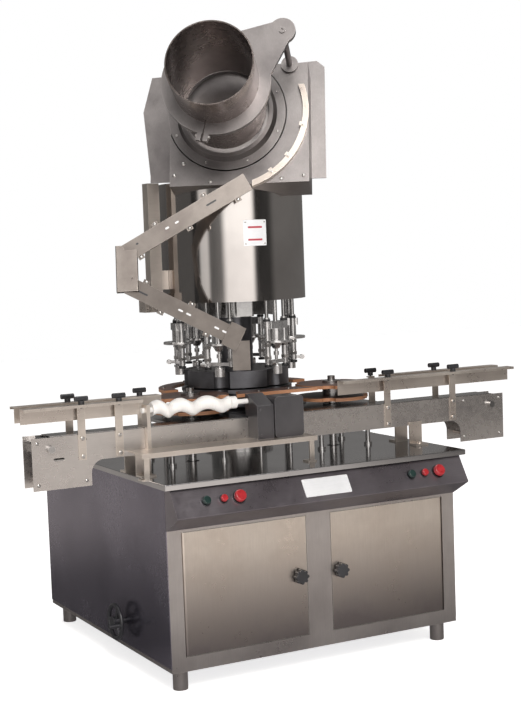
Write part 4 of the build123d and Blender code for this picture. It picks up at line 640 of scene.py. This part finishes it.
corners = ((-155, -179), (-187, -221), (-190, 160), (268, -238),
           (268, 60), (150, 168), (-60, -248), (190, -246))
spots = [(on_feeder(u, v, 0.2), feeder_out) for u, v in corners]
screws("feeder_face_screws", add_pan_screw, spots, 0.0036, BOLT_STEEL, "lift")
spots = [(on_feeder(u, v, 23.2), feeder_out) for u, v in ((269, -57), (217, -170), (158, -226))]
screws("track_clip_screws", add_socket_screw, spots, 0.0030, BOLT_STEEL, "lift")
RIM_SCREWS, RIM_CIRCLE = 8, 193
spots = []
for n in range(RIM_SCREWS):
    angle = 2 * math.pi * (n + 0.5) / RIM_SCREWS
    spots.append((on_feeder(RIM_CIRCLE * math.cos(angle), RIM_CIRCLE * math.sin(angle), 4.2), feeder_out))
screws("disc_rim_screws", add_socket_screw, spots, 0.0028, BOLT_STEEL, "feeder_disc")

# chute: screws in its ears, and slots along both runs, painted shade where they are dark and painted light
# where light shows behind them
CHUTE_HALF_WIDTH, CHUTE_HALF_DEPTH = 0.031, 0.008
EARS, EAR_HALF_DEPTH, EAR_LENGTH, EAR_OUT = 5, 0.005, 0.022, 0.037
SKIN = 0.0001
SLOT_WIDTH = 0.0065
chute_facing = Vector((-0.47, -0.88, 0.1))
chute_top = on_feeder(75, -262, 26)
chute_bend = on_feeder(-348, -505, 26)
chute_turn = chute_bend + Vector((-0.014, -0.030, -0.108))
chute_foot = Vector((-0.119, -0.258, 1.122))


def chute_run(start, end):
    """The run's direction, its way across and its way out, and its length."""
    along = (end - start).normalized()
    out = (chute_facing - along * chute_facing.dot(along)).normalized()
    return along, along.cross(out), out, (end - start).length


def add_slot(b, middle, along, across, out, length, width, height=0.0006, arc=8):
    """A round-ended plate laid on a face, standing for the slot cut through it."""
    ring = []
    for end in (1, -1):
        for n in range(arc + 1):
            angle = math.pi * (n / arc - 0.5)
            forth = length / 2 + width / 2 * math.cos(angle)
            ring.append((along * forth + across * width / 2 * math.sin(angle)) * end)
    low_ring = [b.verts.new(middle + p) for p in ring]
    high_ring = [b.verts.new(middle + p * 0.985 + out * height) for p in ring]
    for n in range(len(ring)):
        b.faces.new((low_ring[n - 1], low_ring[n], high_ring[n], high_ring[n - 1]))
    b.faces.new(high_ring)
    b.faces.new(list(reversed(low_ring)))


# each slot is (share of the run, side as a share of the half width, straight length)
RUNS = (
    (chute_top, chute_bend, ((0.30, 0.0, 0.034), (0.90, 0.30, 0.004)),
     ((0.58, 0.1, 0.008), (0.66, 0.1, 0.008))),
    (chute_turn, chute_foot, ((0.13, 0.1, 0.034), (0.93, 0.4, 0.004)),
     ((0.46, 0.0, 0.012), (0.53, 0.0, 0.012), (0.78, 0.0, 0.012), (0.85, 0.0, 0.012))),
)
ear_spots, dark_mesh, light_mesh = [], bmesh.new(), bmesh.new()
for start, end, dark_slots, light_slots in RUNS:
    along, across, out, length = chute_run(start, end)
    for n in range(EARS):
        side = EAR_OUT if n % 2 else -EAR_OUT
        place = start + along * (length * (n + 0.5) / EARS + EAR_LENGTH / 2)
        ear_spots.append((place + across * side + out * (EAR_HALF_DEPTH + SKIN), out))
    for mesh, slots in ((dark_mesh, dark_slots), (light_mesh, light_slots)):
        for share, side, size in slots:
            place = start + along * length * share + across * CHUTE_HALF_WIDTH * side
            add_slot(mesh, place + out * (CHUTE_HALF_DEPTH + SKIN), along, across, out, size, SLOT_WIDTH)
screws("chute_ear_screws", add_pan_screw, ear_spots, 0.0034, BOLT_STEEL, "lift")
# the slots are plates: black ones are painted shade in the slot, light ones are painted light showing through
# it
new_piece("chute_slot_painted_shade", dark_mesh, BLACK, "lift")
new_piece("chute_slot_painted_light", light_mesh, PLATE, "lift")

# tube: rolled bead at the mouth, and the welded seam outside and inside
BEAD = ((0.1425, 0.0), (0.1420, 0.0015), (0.1422, 0.003), (0.1458, 0.003), (0.1460, 0.0015), (0.1458, 0.0))
TUBE_MOUTH = 446.0
b = bmesh.new()
ring_stack(b, Matrix.Translation(on_feeder(0, 0, TUBE_MOUTH)) @ facing(feeder_out), BEAD, 128, hollow=True)
new_piece("hopper_mouth_bead", b, TUBE, "lift")
SEAM_FROM, SEAM_TO, SEAM_STEPS, SEAM_HALF_WIDTH = 0.050, 0.262, 32, 0.0022
b = bmesh.new()
lug = math.radians(256.5)
across = feeder_right * math.cos(lug) + feeder_up * math.sin(lug)
along = -feeder_right * math.sin(lug) + feeder_up * math.cos(lug)
for radius, sign in ((0.1463, 1), (0.1427, -1)):
    start = feeder_middle + across * radius
    loops = []
    for n in range(SEAM_STEPS + 1):
        w = SEAM_FROM + (SEAM_TO - SEAM_FROM) * n / SEAM_STEPS
        lift = 0.0004 + 0.0003 * math.sin(n * 1.9)
        loop = [b.verts.new(start + feeder_out * w + along * s * SEAM_HALF_WIDTH + across * sign * h)
                for s, h in ((-1, -0.0002), (-0.5, lift * 0.8), (0, lift), (0.5, lift * 0.8), (1, -0.0002))]
        loops.append(loop)
    for one, two in zip(loops, loops[1:]):
        for n in range(4):
            b.faces.new((one[n], one[n + 1], two[n + 1], two[n]))
new_piece("hopper_weld_seam", b, TUBE, "lift")

# clamp bolt through the lug, a head on each side
LUG_CIRCLE, LUG_LEVEL, LUG_HALF_WIDTH = 192, 281.0, 0.0202
bolt = on_feeder(LUG_CIRCLE * math.cos(lug), LUG_CIRCLE * math.sin(lug), LUG_LEVEL)
for name, side in (("lug_bolt_a", -1), ("lug_bolt_b", 1)):
    spot = (bolt + along * side * LUG_HALF_WIDTH, along * side)
    screws(name, add_hex_bolt, [spot], 0.0036, BOLT_STEEL, "lift")

# drum: a plain plate riveted to it, with two enamelled bars
DRUM_RADIUS = 0.268
drum_middle = Vector((0, MACHINE_Y, 0))
PLATE_ANGLE, PLATE_WIDTH = math.radians(261.6), 0.086
PLATE_LOW, PLATE_HIGH = 1.450, 1.542


def drum_patch(name, radius, angle, width, z_low, z_high, thickness, material, steps=16, bevel=0.0012):
    b = bmesh.new()
    loops = []
    for n in range(steps + 1):
        a = angle + (n / steps - 0.5) * width / radius
        out = Vector((math.cos(a), math.sin(a), 0))
        inset = bevel if n in (0, steps) else 0.0
        lift = 0.0 if n in (0, steps) else thickness
        loops.append([b.verts.new(drum_middle + out * (radius + h) + Vector((0, 0, z)))
                      for z, h in ((z_low + inset, 0.0), (z_low + bevel, lift), (z_high - bevel, lift),
                                   (z_high - inset, 0.0))])
    for one, two in zip(loops, loops[1:]):
        for n in range(3):
            b.faces.new((one[n], two[n], two[n + 1], one[n + 1]))
    return new_piece(name, b, material, "lift")


PLATE_SKIN, PLATE_THICK = 0.0002, 0.0010
BAR_SKIN, BAR_THICK, BAR_HEIGHT, BAR_SHARE = 0.0013, 0.0004, 0.007, 0.62
RIVET_INSET = 0.008
drum_patch("drum_plate", DRUM_RADIUS + PLATE_SKIN, PLATE_ANGLE, PLATE_WIDTH, PLATE_LOW, PLATE_HIGH,
           PLATE_THICK, PLATE)
for name, bar_low in (("drum_plate_bar_top", PLATE_HIGH - 0.030), ("drum_plate_bar_low", PLATE_LOW + 0.018)):
    drum_patch(name, DRUM_RADIUS + BAR_SKIN, PLATE_ANGLE, PLATE_WIDTH * BAR_SHARE,
               bar_low, bar_low + BAR_HEIGHT, BAR_THICK, MARK, bevel=BAR_THICK)
spots = []
for a in (-1, 1):
    for z in (PLATE_LOW + RIVET_INSET, PLATE_HIGH - RIVET_INSET):
        angle = PLATE_ANGLE + a * (PLATE_WIDTH / 2 - RIVET_INSET) / DRUM_RADIUS
        out = Vector((math.cos(angle), math.sin(angle), 0))
        face = DRUM_RADIUS + PLATE_SKIN + PLATE_THICK
        spots.append((drum_middle + out * face + Vector((0, 0, z)), out))
screws("drum_plate_rivets", add_pan_screw, spots, 0.0016, BOLT_STEEL, "lift")

# capping heads: nuts and rubber wipers round the guide tubes, two of each on both tubes.
# Their outlines are (radius, height over the seat).
GUIDE_SPREAD = 0.044
NUT = ((0.0112, 0.0), (0.0150, 0.0008), (0.0150, 0.0112), (0.0112, 0.012))
WIPER = ((0.0113, 0.0), (0.0132, 0.001), (0.0132, 0.008), (0.0113, 0.009))
COLLARS = (("head_nuts", NUT, 6, (1.040, 1.0845), BOLT_STEEL),
           ("head_wipers", WIPER, 24, (1.176, 1.010), RUBBER))
for number in HEADS:
    middle = (low(f"chuck_spindle_{number}") + high(f"chuck_spindle_{number}")) / 2
    radial = Vector((middle.x, middle.y - MACHINE_Y, 0)).normalized()
    side = Vector((-radial.y, radial.x, 0))
    axis = Vector((middle.x, middle.y, 0))
    for name, outline, sides, seats, material in COLLARS:
        b = bmesh.new()
        for way in (-1, 1):
            foot = Matrix.Translation(axis + side * way * GUIDE_SPREAD)
            for seat in seats:
                ring_stack(b, foot, [(radius, seat + rise) for radius, rise in outline], sides)
        new_piece(f"{name}_{number}", b, material, f"capping_head_{number}")
